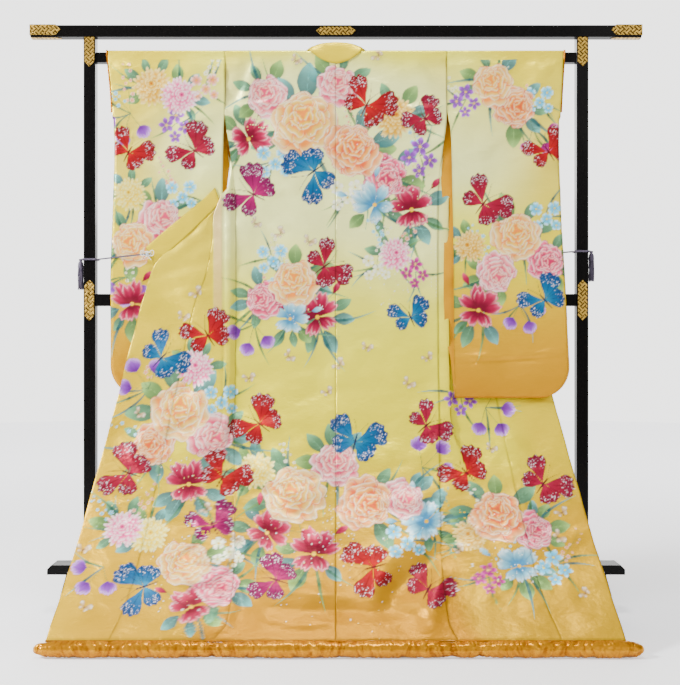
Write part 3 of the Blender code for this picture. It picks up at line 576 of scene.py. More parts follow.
def front_lines(side, places):
    """Side, okumi seam and edge points of a front panel at fractional row places."""
    keys = np.arange(len(FRONT_ROWS))
    table = monotone(keys, front_table(side), places)
    side_x, side_off, side_z, seam_x, seam_z, edge_x, left_off, right_off, edge_z, pleat = table.T
    sewn = places >= SEAM_FIRST_ROW
    side_x = np.where(sewn, side_width(side, side_z) - SEAM_LAP, side_x)
    side_off = np.where(sewn, SEAM_LAP * tilt(side_z), side_off)
    edge_off = left_off if side < 0 else right_off
    start = np.stack([side_x, drape(side_z) + side_off, side_z], -1)
    end = np.stack([edge_x, drape(edge_z) + edge_off, edge_z], -1)
    width = edge_x - side_x
    width = np.where(np.abs(width) < 0.05, 0.05, width)
    out = smooth_step(0.0, 0.25, (seam_x - side_x) / width)
    seam = np.stack([seam_x, drape(seam_z) + blend(side_off, edge_off, out), seam_z], -1)
    return start, seam, end, pleat


def row_places(first, step):
    """Fractional row places from a first row to the hem, about a step apart along the cloth."""
    counts = []
    for row in range(first, len(FRONT_ROWS) - 1):
        drop = abs(FRONT_ROWS[row][8] - FRONT_ROWS[row + 1][8])
        run = drop * float(tilt(FRONT_ROWS[row + 1][8]))
        counts.append(max(3 if row < 4 else 2, int(round(run / step))))
    return fractions(counts, first)


def body_lift(points, side, places):
    """Move a front's or okumi's points by the body's relief where they hang outwards."""
    x = points[..., 0] * side
    share = smooth_step(SEAM_FIRST_ROW - 0.5, SEAM_FIRST_ROW + 1.0, places)[:, None]
    lift = body_relief(x, points[..., 2])
    points[..., 1] -= np.clip(lift, -0.5, 0.6) * share
    points[..., 0] = x
    return points


def front_panel(side, step, first=0):
    """Grid of a front, from its side seam through its pleat to the okumi seam."""
    places = row_places(first, step)
    start, seam, _, pleat = front_lines(side, places)
    inner = LEFT_PLEAT if side < 0 else RIGHT_PLEAT
    outward = 4
    columns = [start]
    for j, (beyond, off, drop) in enumerate(inner, start=1):
        straight = start + (seam - start) * (j / (len(inner) + outward))
        x = blend(straight[:, 0], start[:, 0] + beyond, pleat ** 2)
        z = start[:, 2] - drop
        y = blend(straight[:, 1], drape(z) + off, pleat)
        columns.append(np.stack([x, y, blend(straight[:, 2], z, pleat)], -1))
    final = columns[-1]
    for j in range(1, outward + 1):
        columns.append(final + (seam - final) * (j / outward))
    runs = [1.0] * len(inner) + [4.6] * outward
    fine = fractions([max(2, int(round(run / min(step, 0.7))) + 1) for run in runs])
    grid = monotone(np.arange(len(columns)), np.stack(columns), fine)
    return body_lift(np.swapaxes(grid, 0, 1).copy(), side, places)


def okumi(side, step):
    """Grid of the strip between a front panel and its edge."""
    places = row_places(OKUMI_FIRST_ROW, step)
    _, seam, end, _ = front_lines(side, places)
    tucked = smooth_step(100.0, 108.0, seam[:, 2])
    share = spaced(OKUMI_WIDTH, step)[None, :] / OKUMI_WIDTH
    points = seam[:, None, :] + (end - seam)[:, None, :] * share[..., None]
    close = np.exp(-(share / 0.06) ** 2)
    points[..., 0] += (GAP + 0.02) * (1.0 - tucked)[:, None] * close
    points[..., 1] += 0.34 * tucked[:, None] * (1.0 - smooth_step(0.0, 0.25, share))
    between = blend(seam[:, 2][:, None], end[:, 2][:, None], share)
    straight = blend(drape(seam[:, 2])[:, None], drape(end[:, 2])[:, None], share)
    points[..., 1] += drape(between) - straight
    return body_lift(points, side, places)


def neck_seam(x):
    """Depth and height of the collar's seam round the neck, lifted off the panels."""
    step = 0.02
    length = neck_cut(x) + COLLAR_SEAM_LAP * (1 - np.abs(x) / NECK_HALF)
    y, z = over_rod(length)
    next_y, next_z = over_rod(length + step)
    rise_y = next_y - y
    rise_z = next_z - z
    lift = COLLAR_SEAM_LIFT / np.hypot(rise_y, rise_z)
    return y + rise_z * lift, z - rise_y * lift


def upper_collar(step):
    """Grid of the collar round the neck and down both sides of it."""
    seam = []
    free = []
    for row in COLLAR_NECK:
        y, z = neck_seam(row[0])
        seam.append((row[0], float(y), float(z)))
        free.append(row[1:])
    for row in COLLAR_FALL:
        seam.append(row[:3])
        free.append(row[3:])
    seam = np.array(seam)
    free = np.array(free)
    flip = np.array([-1.0, 1.0, 1.0])
    seam = np.concatenate([seam[:0:-1] * flip, seam])
    free = np.concatenate([free[:0:-1] * flip, free])
    runs = np.linalg.norm(np.diff(seam, axis=0), axis=1)
    places = fractions([max(2, int(round(run / step))) for run in runs])
    keys = np.arange(len(seam))
    seam = monotone(keys, seam, places)
    free = monotone(keys, free, places)
    share = np.linspace(0.0, 1.0, 13)[None, :, None]
    grid = seam[:, None, :] + (free - seam)[:, None, :] * share
    grid[..., 1] = seam[:, None, 1] + (free - seam)[:, None, 1] * share[..., 0] ** 2
    return grid


def collar_end(side, step):
    """Grid of the collar's end on a front's edge."""
    rows = np.array(COLLAR_ENDS, float)
    places = np.linspace(0.0, len(rows) - 1.0, int(COLLAR_END_RUN / step))
    seam_x, seam_z, free_x, free_z, left_off, right_off = monotone(
        np.arange(len(rows)), rows, places).T
    off = (left_off if side < 0 else right_off)[:, None]
    share = spaced(COLLAR_END_WIDTH, step, 0.1)[None, :] / COLLAR_END_WIDTH
    z = blend(seam_z[:, None], free_z[:, None], share)
    x = blend(seam_x[:, None], free_x[:, None], share)
    run = (places / places[-1])[:, None] * COLLAR_END_RUN
    crown = 0.08 * np.sin(share * math.pi)
    y = drape(z) + off - 0.04 * noise(run / 2.6, share * 1.5, NECK_FOLD_SEED) - crown
    return points_of(x * side, y, z)


def sleeve_depth(side, z, rear):
    """Depth (y) of a sleeve's front or rear layer at a height."""
    hang = 0.85 * (np.maximum(0.0, DRAPE_TOP - z) / 100.0) ** 1.5
    pushed = smooth_step(150.0, 112.0, z)
    if side < 0:
        front_y = -ROD_SIDE_Y - hang
        rear_y = blend(ROD_SIDE_Y, front_y + 0.42, smooth_step(158.0, 100.0, z))
    else:
        front_y = blend(-ROD_SIDE_Y - hang, drape(z) - 0.3, pushed)
        rear_y = blend(ROD_SIDE_Y, drape(z) + 0.8, smooth_step(158.0, 116.0, z))
        rear_y = blend(rear_y, front_y + 0.5, smooth_step(84.0, SLEEVE_Z, z))
    return rear_y if rear else front_y


def sleeve_outer(side, z):
    """A sleeve's outer edge, with its rounded lower corner."""
    edge = along(SLEEVE_EDGES, SIDE_COLUMN[side], z)
    drop = np.clip(SLEEVE_CORNER - (z - SLEEVE_Z), 0.0, SLEEVE_CORNER)
    return edge - SLEEVE_CORNER + np.sqrt(SLEEVE_CORNER ** 2 - drop ** 2)


def sleeve_relief(x, z, rear):
    """How far a sleeve's cloth stands forward of its plain form."""
    side = np.sign(x)
    relief = crease_relief(x, z, SLEEVE_CREASES) * (0.5 if rear else 1.0)
    covered = np.where(side < 0, smooth_step(128.0, 114.0, z), 0.0)
    slant = z / 7.5 - x / 24.0 + side * 7.0
    swell = 0.5 + 0.5 * noise(x / 9.0 + z / 31.0 + 5.0, slant, SLEEVE_SEED)
    ripple = 0.5 + 0.5 * noise(x / 5.0 - z / 14.0, z / 2.9 + x / 16.0, SLEEVE_SEED + 2)
    relief = relief + (1.0 - 0.75 * covered) * (1.10 * swell + 0.42 * ripple)
    relief = relief + 0.045 * noise(x / 2.4, z / 1.3, SLEEVE_SEED + 4)
    outer = np.where(side < 0, along(SLEEVE_EDGES, 1, z), along(SLEEVE_EDGES, 2, z))
    relief = relief + 0.11 * pucker(outer - np.abs(x), z, SLEEVE_SEED + 6, 1.4, 1.0)
    relief = relief + 0.06 * pucker(np.abs(x) - 33.2, z, SLEEVE_SEED + 7, 1.2, 1.2)
    return relief * smooth_step(166.3, 162.0, z)


def sleeve_layer(side, z, rear, shares):
    """Points of one layer of a sleeve below the rod."""
    inner = along(SLEEVE_EDGES, INNER_COLUMN[side, rear], z)[:, None]
    outer = sleeve_outer(side, z)[:, None]
    x = blend(inner, outer, shares[None, :])
    y = np.repeat(sleeve_depth(side, z, rear)[:, None], len(shares), 1)
    half = 0.5 * (sleeve_depth(side, z, not rear) - sleeve_depth(side, z, rear))[:, None]
    fold = 0.7
    edge = np.clip((x - outer + fold) / fold, 0.0, 1.0)
    edge = edge * (z < SLEEVE_FOLD_Z)[:, None]
    foot = np.clip((SLEEVE_Z + fold - z) / fold, 0.0, 1.0)[:, None]
    turn = np.clip(np.hypot(edge, foot), 0.0, 1.0)
    z = np.repeat(z[:, None], len(shares), 1)
    lift = sleeve_relief(side * x, z, rear) * (1.0 - turn)
    y = y + half * (1.0 - np.sqrt(1.0 - turn ** 2)) - lift
    return points_of(side * x, y, z)


def sleeve(side, step, part="all"):
    """Grid of a sleeve: up its front layer, over the rod and down its rear layer."""
    shares = spaced(SLEEVE_WIDTH, step) / SLEEVE_WIDTH
    low = SLEEVE_Z + np.array([0.0, 0.03, 0.1, 0.22, 0.4])
    levels = np.concatenate([low, np.arange(SLEEVE_Z + 0.7, 165.0, step)])
    front = sleeve_layer(side, levels, False, shares)
    rear = sleeve_layer(side, levels, True, shares)[::-1]
    if part == "front":
        return front
    if part == "rear":
        return rear
    y, z = over_rod(np.arange(2.6, 0.0, -0.26)[:, None])
    x = blend(SHOULDER_HALF + GAP, along(SLEEVE_EDGES, SIDE_COLUMN[side], z), shares)
    over = points_of(side * x, y, z)
    behind = (over * np.array([1.0, -1.0, 1.0]))[::-1]
    return np.concatenate([front, over, behind, rear])


# ---------------------------------------------------------------- meshes
def normals(grid, sign):
    """Unit normals of a grid of points."""
    return unit(np.cross(np.gradient(grid, axis=0), np.gradient(grid, axis=1)) * sign)


def to_metres(points):
    return (points + np.array([0.0, ROD_PLANE_Y, 0.0])) * CM


def placed(name, mesh, colours=None):
    """An object of a mesh, with its points' colours as the tint."""
    if colours is not None:
        layer = mesh.color_attributes.new("tint", "FLOAT_COLOR", "POINT")
        rgba = np.ones((len(mesh.vertices), 4), np.float32)
        rgba[:, :3] = colours
        layer.data.foreach_set("color", rgba.ravel())
    mesh.validate()
    obj = bpy.data.objects.new(name, mesh)
    bpy.context.scene.collection.objects.link(obj)
    return obj


def new_mesh(name, points, faces, slots=None, colours=None, smooth=True):
    """A mesh object from arrays; points in centimetres, faces all with equal corners."""
    mesh = bpy.data.meshes.new(name)
    faces = np.asarray(faces, np.int32)
    count, corners = faces.shape
    mesh.vertices.add(len(points))
    mesh.vertices.foreach_set("co", to_metres(np.asarray(points)).astype(np.float32).ravel())
    mesh.loops.add(count * corners)
    mesh.loops.foreach_set("vertex_index", faces.ravel())
    mesh.polygons.add(count)
    mesh.polygons.foreach_set("loop_start", np.arange(0, count * corners, corners, np.int32))
    if slots is not None:
        mesh.polygons.foreach_set("material_index", np.asarray(slots, np.int32))
    mesh.update(calc_edges=True)
    mesh.polygons.foreach_set("use_smooth", np.full(count, smooth))
    return placed(name, mesh, colours)


def from_quads(name, points, faces, colours):
    """A mesh from quads, some of them triangles with their last corner named twice."""
    mesh = bpy.data.meshes.new(name)
    rows = [tuple(face[:3]) if face[2] == face[3] else tuple(face) for face in faces.tolist()]
    mesh.from_pydata([tuple(point) for point in to_metres(points).tolist()], [], rows)
    mesh.polygons.foreach_set("use_smooth", np.ones(len(rows), bool))
    return placed(name, mesh, colours)


def grid_faces(rows, columns, start=0):
    spot = np.arange(rows * columns).reshape(rows, columns) + start
    corners = (spot[:-1, :-1], spot[:-1, 1:], spot[1:, 1:], spot[1:, :-1])
    return np.stack([corner.ravel() for corner in corners], 1)


def edge_pinch(rows, columns):
    """Share of the wall's half thickness, less by the borders so that edges look folded."""
    near = np.array([0.35, 0.8, 0.95])

    def line(count):
        shape = np.ones(count)
        shape[:3] = near
        shape[-3:] = near[::-1]
        return shape

    return np.minimum(line(rows)[:, None], line(columns)[None, :])[..., None]


def grown(grid, reach=0.05):
    """The grid with its borders moved out a little, so that neighbours meet at a seam."""
    grid = np.array(grid)
    for first, second in ((0, 1), (-1, -2)):
        grid[first] += reach * unit(grid[first] - grid[second])
        grid[:, first] += reach * unit(grid[:, first] - grid[:, second])
    return grid


def nearness(grid, reach):
    """One at a grid's borders, dying away from them."""
    total = np.zeros(grid.shape[:2])
    for axis in (0, 1):
        gaps = np.linalg.norm(np.diff(grid, axis=axis), axis=-1)
        start = np.zeros_like(np.take(gaps, [0], axis=axis))
        far = np.concatenate([start, np.cumsum(gaps, axis=axis)], axis=axis)
        whole = np.take(far, [-1], axis=axis)
        total = np.maximum(total, np.exp(-(np.minimum(far, whole - far) / reach) ** 2))
    return total


def sunk(grid, sign, depth=0.06, reach=0.2):
    """The grid with its borders turned a little inwards, so that seams lie in a fine hollow."""
    return grid - normals(grid, sign) * (depth * nearness(grid, reach))[..., None]


def seam_painted_shade(grid):
    """Share of the colour left beside a seam: painted shade, darker where the cloth turns in."""
    return (1.0 - 0.42 * nearness(grid, 0.3))[..., None]


# darkness of the cloth's rims: a painted shadow along seams and edges
SEAM_SHADE = 0.55


def shell(name, grid, sign, outer, inner, wall=WALL):
    """A closed two-faced sheet of cloth round a grid; sign turns its outer face outwards."""
    # painted shade beside the seams darkens the outer colour
    outer = outer * seam_painted_shade(grid)
    grid = sunk(grown(grid), sign)
    rows, columns = grid.shape[:2]
    out = normals(grid, sign)
    half = wall / 2 * edge_pinch(rows, columns)
    count = rows * columns
    front = grid_faces(rows, columns)
    back = grid_faces(rows, columns, count)[:, ::-1]
    ring = np.concatenate([
        np.arange(columns), np.arange(2 * columns - 1, count, columns),
        np.arange(count - 2, count - columns - 1, -1), np.arange(count - 2 * columns, 0, -columns),
    ])
    around = np.arange(len(ring))
    after = np.roll(around, -1)
    rim = 2 * count + np.stack([after, around, around + len(ring), after + len(ring)], 1)
    faces = np.concatenate([front, back, rim])
    # rows x columns runs down and across, so the plain grid order faces along down x across
    if sign > 0:
        faces = faces[:, ::-1]
    outside = (grid + out * half).reshape(-1, 3)
    inside = (grid - out * half).reshape(-1, 3)
    points = np.concatenate([outside, inside, outside[ring], inside[ring]])
    slots = np.concatenate([np.zeros(len(front)), np.ones(len(back) + len(rim))])
    # rims take a darkened lining colour: painted shadow along the seams
    edge = np.broadcast_to(SEAM_SHADE * linear(LINING_GOLD), (2 * len(ring), 3))
    colours = np.concatenate([outer.reshape(-1, 3), inner.reshape(-1, 3), edge])
    return new_mesh(name, points, faces, slots, colours)


# ---------------------------------------------------------------- the dyed ground and painted pleat shade
def ramp(value, stops):
    """Colour at a value from (value, colour) stops in rising order, in linear light."""
    keys = np.array([stop[0] for stop in stops], float)
    tones = np.array([linear(stop[1]) for stop in stops])
    return monotone(keys, tones, np.ravel(value)).reshape(np.shape(value) + (3,))


BACK_GROUND = (
    # height along the cloth, colour
    (-4.0, DEEP_GOLD),
    (20.0, GOLD),
    (35.0, tone_between(GOLD, LEMON, 0.5)),
    (48.0, LEMON),
    (68.0, tone_between(LEMON, PALE, 0.45)),
    (86.0, PALE),
    (116.0, CREAM),
    (157.0, CREAM),
    (168.0, PALE),
)
SLEEVE_GROUND = (
    # height, colour
    (64.0, DEEP_GOLD),
    (84.0, GOLD),
    (97.0, tone_between(GOLD, LEMON, 0.6)),
    (112.0, PALE),
    (135.0, CREAM),
    (168.0, PALE),
)


def mix_colour(base, tone, share):
    return base + (linear(tone) - base) * share[..., None]


def body_ground(points):
    """The body's dyed colour at points: pale at the top, gold at the hem and outer edges, with
    painted shade in the left pleat's hollow.
    """
    x = points[..., 0]
    z = points[..., 2]
    wander = 5.0 * noise(x / 22.0 + 4.0, z / 26.0, GROUND_SEED)
    base = ramp(cloth_height(z) + wander, BACK_GROUND)
    past = np.abs(x) - side_width(-1, z)
    pleat = np.where(x < 0, smooth_step(84.0, 91.0, z), 0.0)
    start = -1.0 + 7.1 * pleat
    side_yellow = smooth_step(start, start + 6.0 - 5.3 * pleat, past) * smooth_step(50.0, 90.0, z)
    base = mix_colour(base, YELLOW, 0.95 * side_yellow * np.where(x < 0, 1.0, 0.5))
    # painted shade, in a tan tone, in the hollow beside the left pleat's roll
    strip = smooth_step(3.6, 4.1, past) * smooth_step(6.6, 6.1, past)
    base = mix_colour(base, PLEAT_HOLLOW_SHADE, 0.6 * strip * pleat * smooth_step(138.0, 132.0, z))
    tip = np.abs(x) - blend(74.0, 52.0, smooth_step(5.0, 100.0, z)) + 12.0
    edge_gold = smooth_step(-6.0, 12.0, tip + wander) * smooth_step(100.0, 55.0, z)
    base = mix_colour(base, GOLD, edge_gold * np.where(x < 0, 0.7, 0.45))
    outer_low = smooth_step(2.0, 10.0, past) * smooth_step(34.0, 12.0, z)
    base = mix_colour(base, LEMON, 0.22 * outer_low)
    corner = smooth_step(22.0, 33.0, np.abs(x)) * smooth_step(138.0, 165.0, z)
    return mix_colour(base, YELLOW, 0.30 * corner)


def sleeve_ground(points):
    x = points[..., 0]
    z = points[..., 2]
    wander = 4.0 * noise(x / 18.0 + 9.0, z / 20.0, GROUND_SEED + 2)
    outer = smooth_step(40.0, 64.0, np.abs(x) + wander + 0.18 * (z - 135.0))
    base = ramp(z + wander, SLEEVE_GROUND)
    return mix_colour(base, YELLOW, 0.80 * outer * smooth_step(88.0, 112.0, z))


def plain(points, tone, share=0.06, seed=51):
    """An even colour with a slight cloudiness."""
    value = 1.0 + share * noise(points[..., 0] / 7.0, points[..., 2] / 7.0, seed)
    return linear(tone) * value[..., None]


# ---------------------------------------------------------------- materials
def fill(tree, node, sockets):
    """Set a node's sockets to values, or link them where a value is another node's output."""
    for name, value in sockets.items():
        if isinstance(value, bpy.types.NodeSocket):
            tree.links.new(value, node.inputs[name])
        else:
            node.inputs[name].default_value = value


def add_node(tree, kind, sockets, **settings):
    node = tree.nodes.new("ShaderNode" + kind)
    for name, value in settings.items():
        setattr(node, name, value)
    fill(tree, node, sockets)
    return node


def nodes_of(name):
    made = bpy.data.materials.new(name)
    made.use_nodes = True
    return made, made.node_tree, made.node_tree.nodes["Principled BSDF"]


def bumped(tree, height, strength, distance):
    sockets = {"Strength": strength, "Distance": distance, "Height": height}
    return add_node(tree, "Bump", sockets)


def place_nodes(tree, scale=(1.0, 1.0, 1.0)):
    """Object coordinates times a scale for each axis."""
    place = add_node(tree, "TexCoord", {}).outputs["Object"]
    return add_node(tree, "Mapping", {"Scale": scale, "Vector": place}).outputs["Vector"]


def noise_node(tree, vector, scale, detail=3.0, rough=0.5):
    sockets = {"Scale": scale, "Detail": detail, "Roughness": rough, "Vector": vector}
    return add_node(tree, "TexNoise", sockets).outputs["Fac"]


def math_node(tree, operation, *values):
    return add_node(tree, "Math", dict(enumerate(values)), operation=operation).outputs[0]


def split_node(tree, vector):
    return add_node(tree, "SeparateXYZ", {0: vector}).outputs


def scaled(tree, colour, value):
    sockets = {0: colour, "Scale": value}
    return add_node(tree, "VectorMath", sockets, operation="SCALE").outputs["Vector"]


def mixed(tree, share, first, second):
    """A colour between two, each a colour or another node's output."""
    tones = [(*tone, 1.0) if isinstance(tone, tuple) else tone for tone in (first, second)]
    sockets = {"Factor": share, "A": tones[0], "B": tones[1]}
    return add_node(tree, "Mix", sockets, data_type="RGBA").outputs["Result"]


def ranged(tree, value, low, high, start=0.0, end=1.0, curve_kind="LINEAR"):
    """A value that runs from low to high while the given one runs from start to end."""
    sockets = {"Value": value, "From Min": start, "From Max": end, "To Min": low, "To Max": high}
    return add_node(tree, "MapRange", sockets, interpolation_type=curve_kind).outputs["Result"]


def tinted(tree, light, low, high):
    """The mesh's tint, made a little lighter and darker by a value."""
    paint = add_node(tree, "VertexColor", {}, layer_name="tint")
    return scaled(tree, paint.outputs["Color"], ranged(tree, light, low, high))


def satin(name, roughness, weave=0.25, crinkle=0.35, metallic=0.22):
    """Silk satin: a close weave with long floats, a soft crinkle and a gloss of its own colour."""
    made, tree, shader = nodes_of(name)
    floats = noise_node(tree, place_nodes(tree, (1800.0, 600.0, 260.0)), 1.0, 1.0)
    slub = noise_node(tree, place_nodes(tree, (40.0, 60.0, 420.0)), 1.0, 2.0)
    cloud = noise_node(tree, place_nodes(tree), 9.0, 3.0)
    soft = noise_node(tree, place_nodes(tree, (26.0, 30.0, 46.0)), 1.0, 4.0, 0.55)
    woven = bumped(tree, floats, weave, 0.0004)
    crinkled = bumped(tree, soft, crinkle, 0.006)
    fill(tree, crinkled, {"Normal": woven.outputs["Normal"]})
    fill(tree, shader, {
        "Base Color": tinted(tree, slub, 0.955, 1.035),
        "Roughness": ranged(tree, cloud, roughness - 0.06, roughness + 0.08),
        "Metallic": metallic,
        "Specular IOR Level": 0.3,
        "Specular Tint": (1.0, 0.82, 0.36, 1.0),
        "Normal": crinkled.outputs["Normal"],
    })
    return made


# ---------------------------------------------------------------- garment
SATIN_FACE = satin("satin_face", 0.38, 0.25, 0.55, 0.4)
SATIN_LINING = satin("satin_lining", 0.38)
STEP = 0.8
COLLAR_END_STEP = 0.6
COLLAR_STEP = 0.5


def finish_piece(obj, materials, node=None):
    for made in materials:
        obj.data.materials.append(made)
    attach(obj, "root")
    if node:
        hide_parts(*([node] if isinstance(node, str) else node))
    return obj


def build_collar(word, grid, side, tone):
    face = plain(grid, tone)
    piece = shell("cloth_collar_" + word, grid, side, face, face, COLLAR_WALL)
    finish_piece(piece, (SATIN_FACE, SATIN_FACE), "collar_" + word)


def build_cloth():
    panels = (
        # panel, its grid, way its outer face looks on the right, dyed ground
        ("back_", back_panel, 1, body_ground),
        ("front_", front_panel, 1, body_ground),
        ("okumi_", okumi, 1, body_ground),
        ("sleeve_", sleeve, -1, sleeve_ground),
    )
    for side, word in WORDS.items():
        for panel, form, face, ground in panels:
            grid = form(side, STEP)
            panel = panel + word
            lining = plain(grid, LINING_GOLD)
            piece = shell("cloth_" + panel, grid, face * side, ground(grid), lining)
            finish_piece(piece, (SATIN_FACE, SATIN_LINING), panel)
        tone = YELLOW if side < 0 else LEMON
        build_collar(word, collar_end(side, COLLAR_END_STEP), side, tone)
    build_collar("neck", upper_collar(COLLAR_STEP), 1, YELLOW)


build_cloth()


# ---------------------------------------------------------------- drawing the print
def at(x, v, turn, reach):
    """The point a reach away from another, in a direction given in degrees."""
    angle = math.radians(turn)
    return x + reach * math.cos(angle), v + reach * math.sin(angle)


class Canvas:
    """A sheet to draw on, in centimetres: colour times cover, and cover, at each dot."""

    def __init__(self, left, right, low, high, pitch=0.1):
        self.left = left
        self.low = low
        self.pitch = pitch
        self.columns = int((right - left) / pitch) + 1
        self.rows = int((high - low) / pitch) + 1
        self.colour = np.zeros((self.rows, self.columns, 3), np.float32)
        self.cover = np.zeros((self.rows, self.columns), np.float32)

    def window(self, x, v, reach):
        """The dots within reach of a point, and their offsets from it; None if there are none."""
        first = max(0, int((v - reach - self.low) / self.pitch))
        last = min(self.rows, int((v + reach - self.low) / self.pitch) + 2)
        start = max(0, int((x - reach - self.left) / self.pitch))
        stop = min(self.columns, int((x + reach - self.left) / self.pitch) + 2)
        if first >= last or start >= stop:
            return None
        across = self.left + self.pitch * np.arange(start, stop) - x
        up = self.low + self.pitch * np.arange(first, last) - v
        return (slice(first, last), slice(start, stop)), across[None, :], up[:, None]

    def laid_out(self, x, v, turn, length, width):
        """The dots round a petal: their offsets from its base, and along it and across it."""
        angle = math.radians(turn)
        middle = at(0.0, 0.0, turn, 0.5 * length)
        spot = self.window(x + middle[0], v + middle[1], 0.6 * length + width)
        if spot is None:
            return None
        area, dx, dv = spot
        dx = dx + middle[0]
        dv = dv + middle[1]
        ahead = dx * math.cos(angle) + dv * math.sin(angle)
        over = dv * math.cos(angle) - dx * math.sin(angle)
        return area, dx, dv, ahead, over

    def lay(self, area, colour, cover):
        keep = (1.0 - cover).astype(np.float32)
        self.colour[area] = self.colour[area] * keep[..., None] + colour * cover[..., None]
        self.cover[area] = self.cover[area] * keep + cover

    def read(self, x, v):
        """Colour times cover, and cover, at points between the dots."""
        u = np.clip((x - self.left) / self.pitch, 0, self.columns - 1.001)
        w = np.clip((v - self.low) / self.pitch, 0, self.rows - 1.001)
        i = w.astype(int)
        j = u.astype(int)
        fi = (w - i)[..., None]
        fj = (u - j)[..., None]
        whole = np.concatenate([self.colour, self.cover[..., None]], -1)
        low = whole[i, j] * (1 - fj) + whole[i, j + 1] * fj
        high = whole[i + 1, j] * (1 - fj) + whole[i + 1, j + 1] * fj
        found = low * (1 - fi) + high * fi
        return found[..., :3], found[..., 3]


PETAL_EDGE = 0.12


def petal(canvas, x, v, turn, length, width, tones, hidden=0.0, belly=2.0, full=0.6,
          notch=0.0, ruffle=0.0, line=None, cover=1.0, seed=0.0, bend=0.0):
    """One petal from its base point, turned in degrees; tones are its base, body and rim."""
    spot = canvas.laid_out(x, v, turn, length, width)
    if spot is None:
        return
    area, _, _, ahead, over = spot
    ahead = ahead / length
    across = over / width - bend * ahead * ahead
    tip = 1.0 + ruffle * np.sin(across * 7.0 + seed) - notch * np.exp(-(across / 0.22) ** 2)
    s = ahead / tip
    inside = np.clip(s, 0.0, 1.0)
    half = np.sin(math.pi * inside ** belly) ** full
    far = np.minimum((half - np.abs(across)) * width, (1.0 - s) * length)
    far = np.where(s > 0.0, far, -1.0)
    shown = np.clip(far / PETAL_EDGE + 0.5, 0.0, 1.0)
    opened = np.clip((inside - hidden) / (1.0 - hidden), 0.0, 1.0)
    base, body, rim = [linear(tone) for tone in tones]
    colour = base + (body - base) * smooth_step(0.0, 0.55, opened)[..., None]
    colour = colour + (rim - colour) * smooth_step(0.5, 1.0, opened)[..., None]
    vein = 1.0 + 0.05 * np.sin(across / (half + 0.25) * 8.0 + seed * 3.0)
    fall = 1.0 - 0.10 * smooth_step(0.0, 1.0, across * (1.0 if seed > 3.0 else -1.0))
    colour = colour * (vein * fall)[..., None]
    if line is not None:
        near = np.exp(-((far - 0.10) / 0.11) ** 2) * smooth_step(0.35, 0.7, inside)
        colour = colour + (linear(line) - colour) * (0.75 * near)[..., None]
        light = np.exp(-((far - 0.38) / 0.16) ** 2) * smooth_step(0.5, 0.9, inside)
        colour = colour + (linear(PETAL_SHEEN) - colour) * (0.45 * light)[..., None]
    canvas.lay(area, colour, shown * cover)


def stroke(canvas, points, widths, tones, cover=1.0):
    """A tapered brush line through points; tones run from its start to its end."""
    points = np.asarray(points, float)
    middle = (points.min(0) + points.max(0)) / 2
    reach = (points.max(0) - points.min(0)).max() / 2 + max(widths)
    spot = canvas.window(middle[0], middle[1], reach)
    if spot is None:
        return
    area, dx, dv = spot
    best = np.full(np.broadcast(dx, dv).shape, -1.0)
    place = np.zeros_like(best)
    steps = len(points) - 1
    for k in range(steps):
        a = points[k] - middle
        run = points[k + 1] - points[k]
        size = max(run @ run, 1e-9)
        t = np.clip(((dx - a[0]) * run[0] + (dv - a[1]) * run[1]) / size, 0.0, 1.0)
        away = np.hypot(dx - a[0] - t * run[0], dv - a[1] - t * run[1])
        share = (k + t) / steps
        near = blend(widths[0], widths[1], share) / 2 - away
        better = near > best
        best = np.where(better, near, best)
        place = np.where(better, share, place)
    first, last = [linear(tone) for tone in tones]
    colour = first + (last - first) * place[..., None]
    canvas.lay(area, colour, np.clip(best / 0.1 + 0.5, 0.0, 1.0) * cover)


def curve(x, v, turn, length, bow, count=7):
    """Points of a bowed line from a start point."""
    angle = math.radians(turn)
    ahead = np.array([math.cos(angle), math.sin(angle)])
    side = np.array([-ahead[1], ahead[0]])
    t = np.linspace(0.0, 1.0, count)[:, None]
    return np.array([x, v]) + length * (t * ahead + bow * t * t * side)


def dot(canvas, x, v, radius, tone, cover=1.0):
    spot = canvas.window(x, v, radius + 0.2)
    if spot is None:
        return
    area, dx, dv = spot
    shown = np.clip((radius - np.hypot(dx, dv)) / 0.1 + 0.5, 0.0, 1.0)
    canvas.lay(area, np.broadcast_to(linear(tone), shown.shape + (3,)), shown * cover)


PEONY_TONES = {
    # base, body, rim, line, heart
    "cream": ((248, 140, 50), (248, 194, 110), (248, 230, 170), (230, 86, 44), (248, 200, 14)),
    "peach": ((230, 92, 44), (248, 164, 98), (248, 212, 158), (206, 44, 44), (248, 170, 14)),
    "pink": ((224, 62, 104), (248, 152, 158), (248, 230, 224), (188, 38, 86), (248, 152, 110)),
    "rose": ((194, 32, 86), (248, 92, 134), (248, 188, 194), (164, 14, 74), (248, 116, 110)),
}
PEONY_RINGS = (
    # petals, reach, width, hidden
    (6, 1.00, 0.54, 0.66),
    (6, 0.85, 0.47, 0.64),
    (6, 0.70, 0.40, 0.62),
    (5, 0.56, 0.34, 0.60),
    (5, 0.43, 0.27, 0.56),
    (4, 0.31, 0.21, 0.50),
    (3, 0.20, 0.15, 0.30),
)


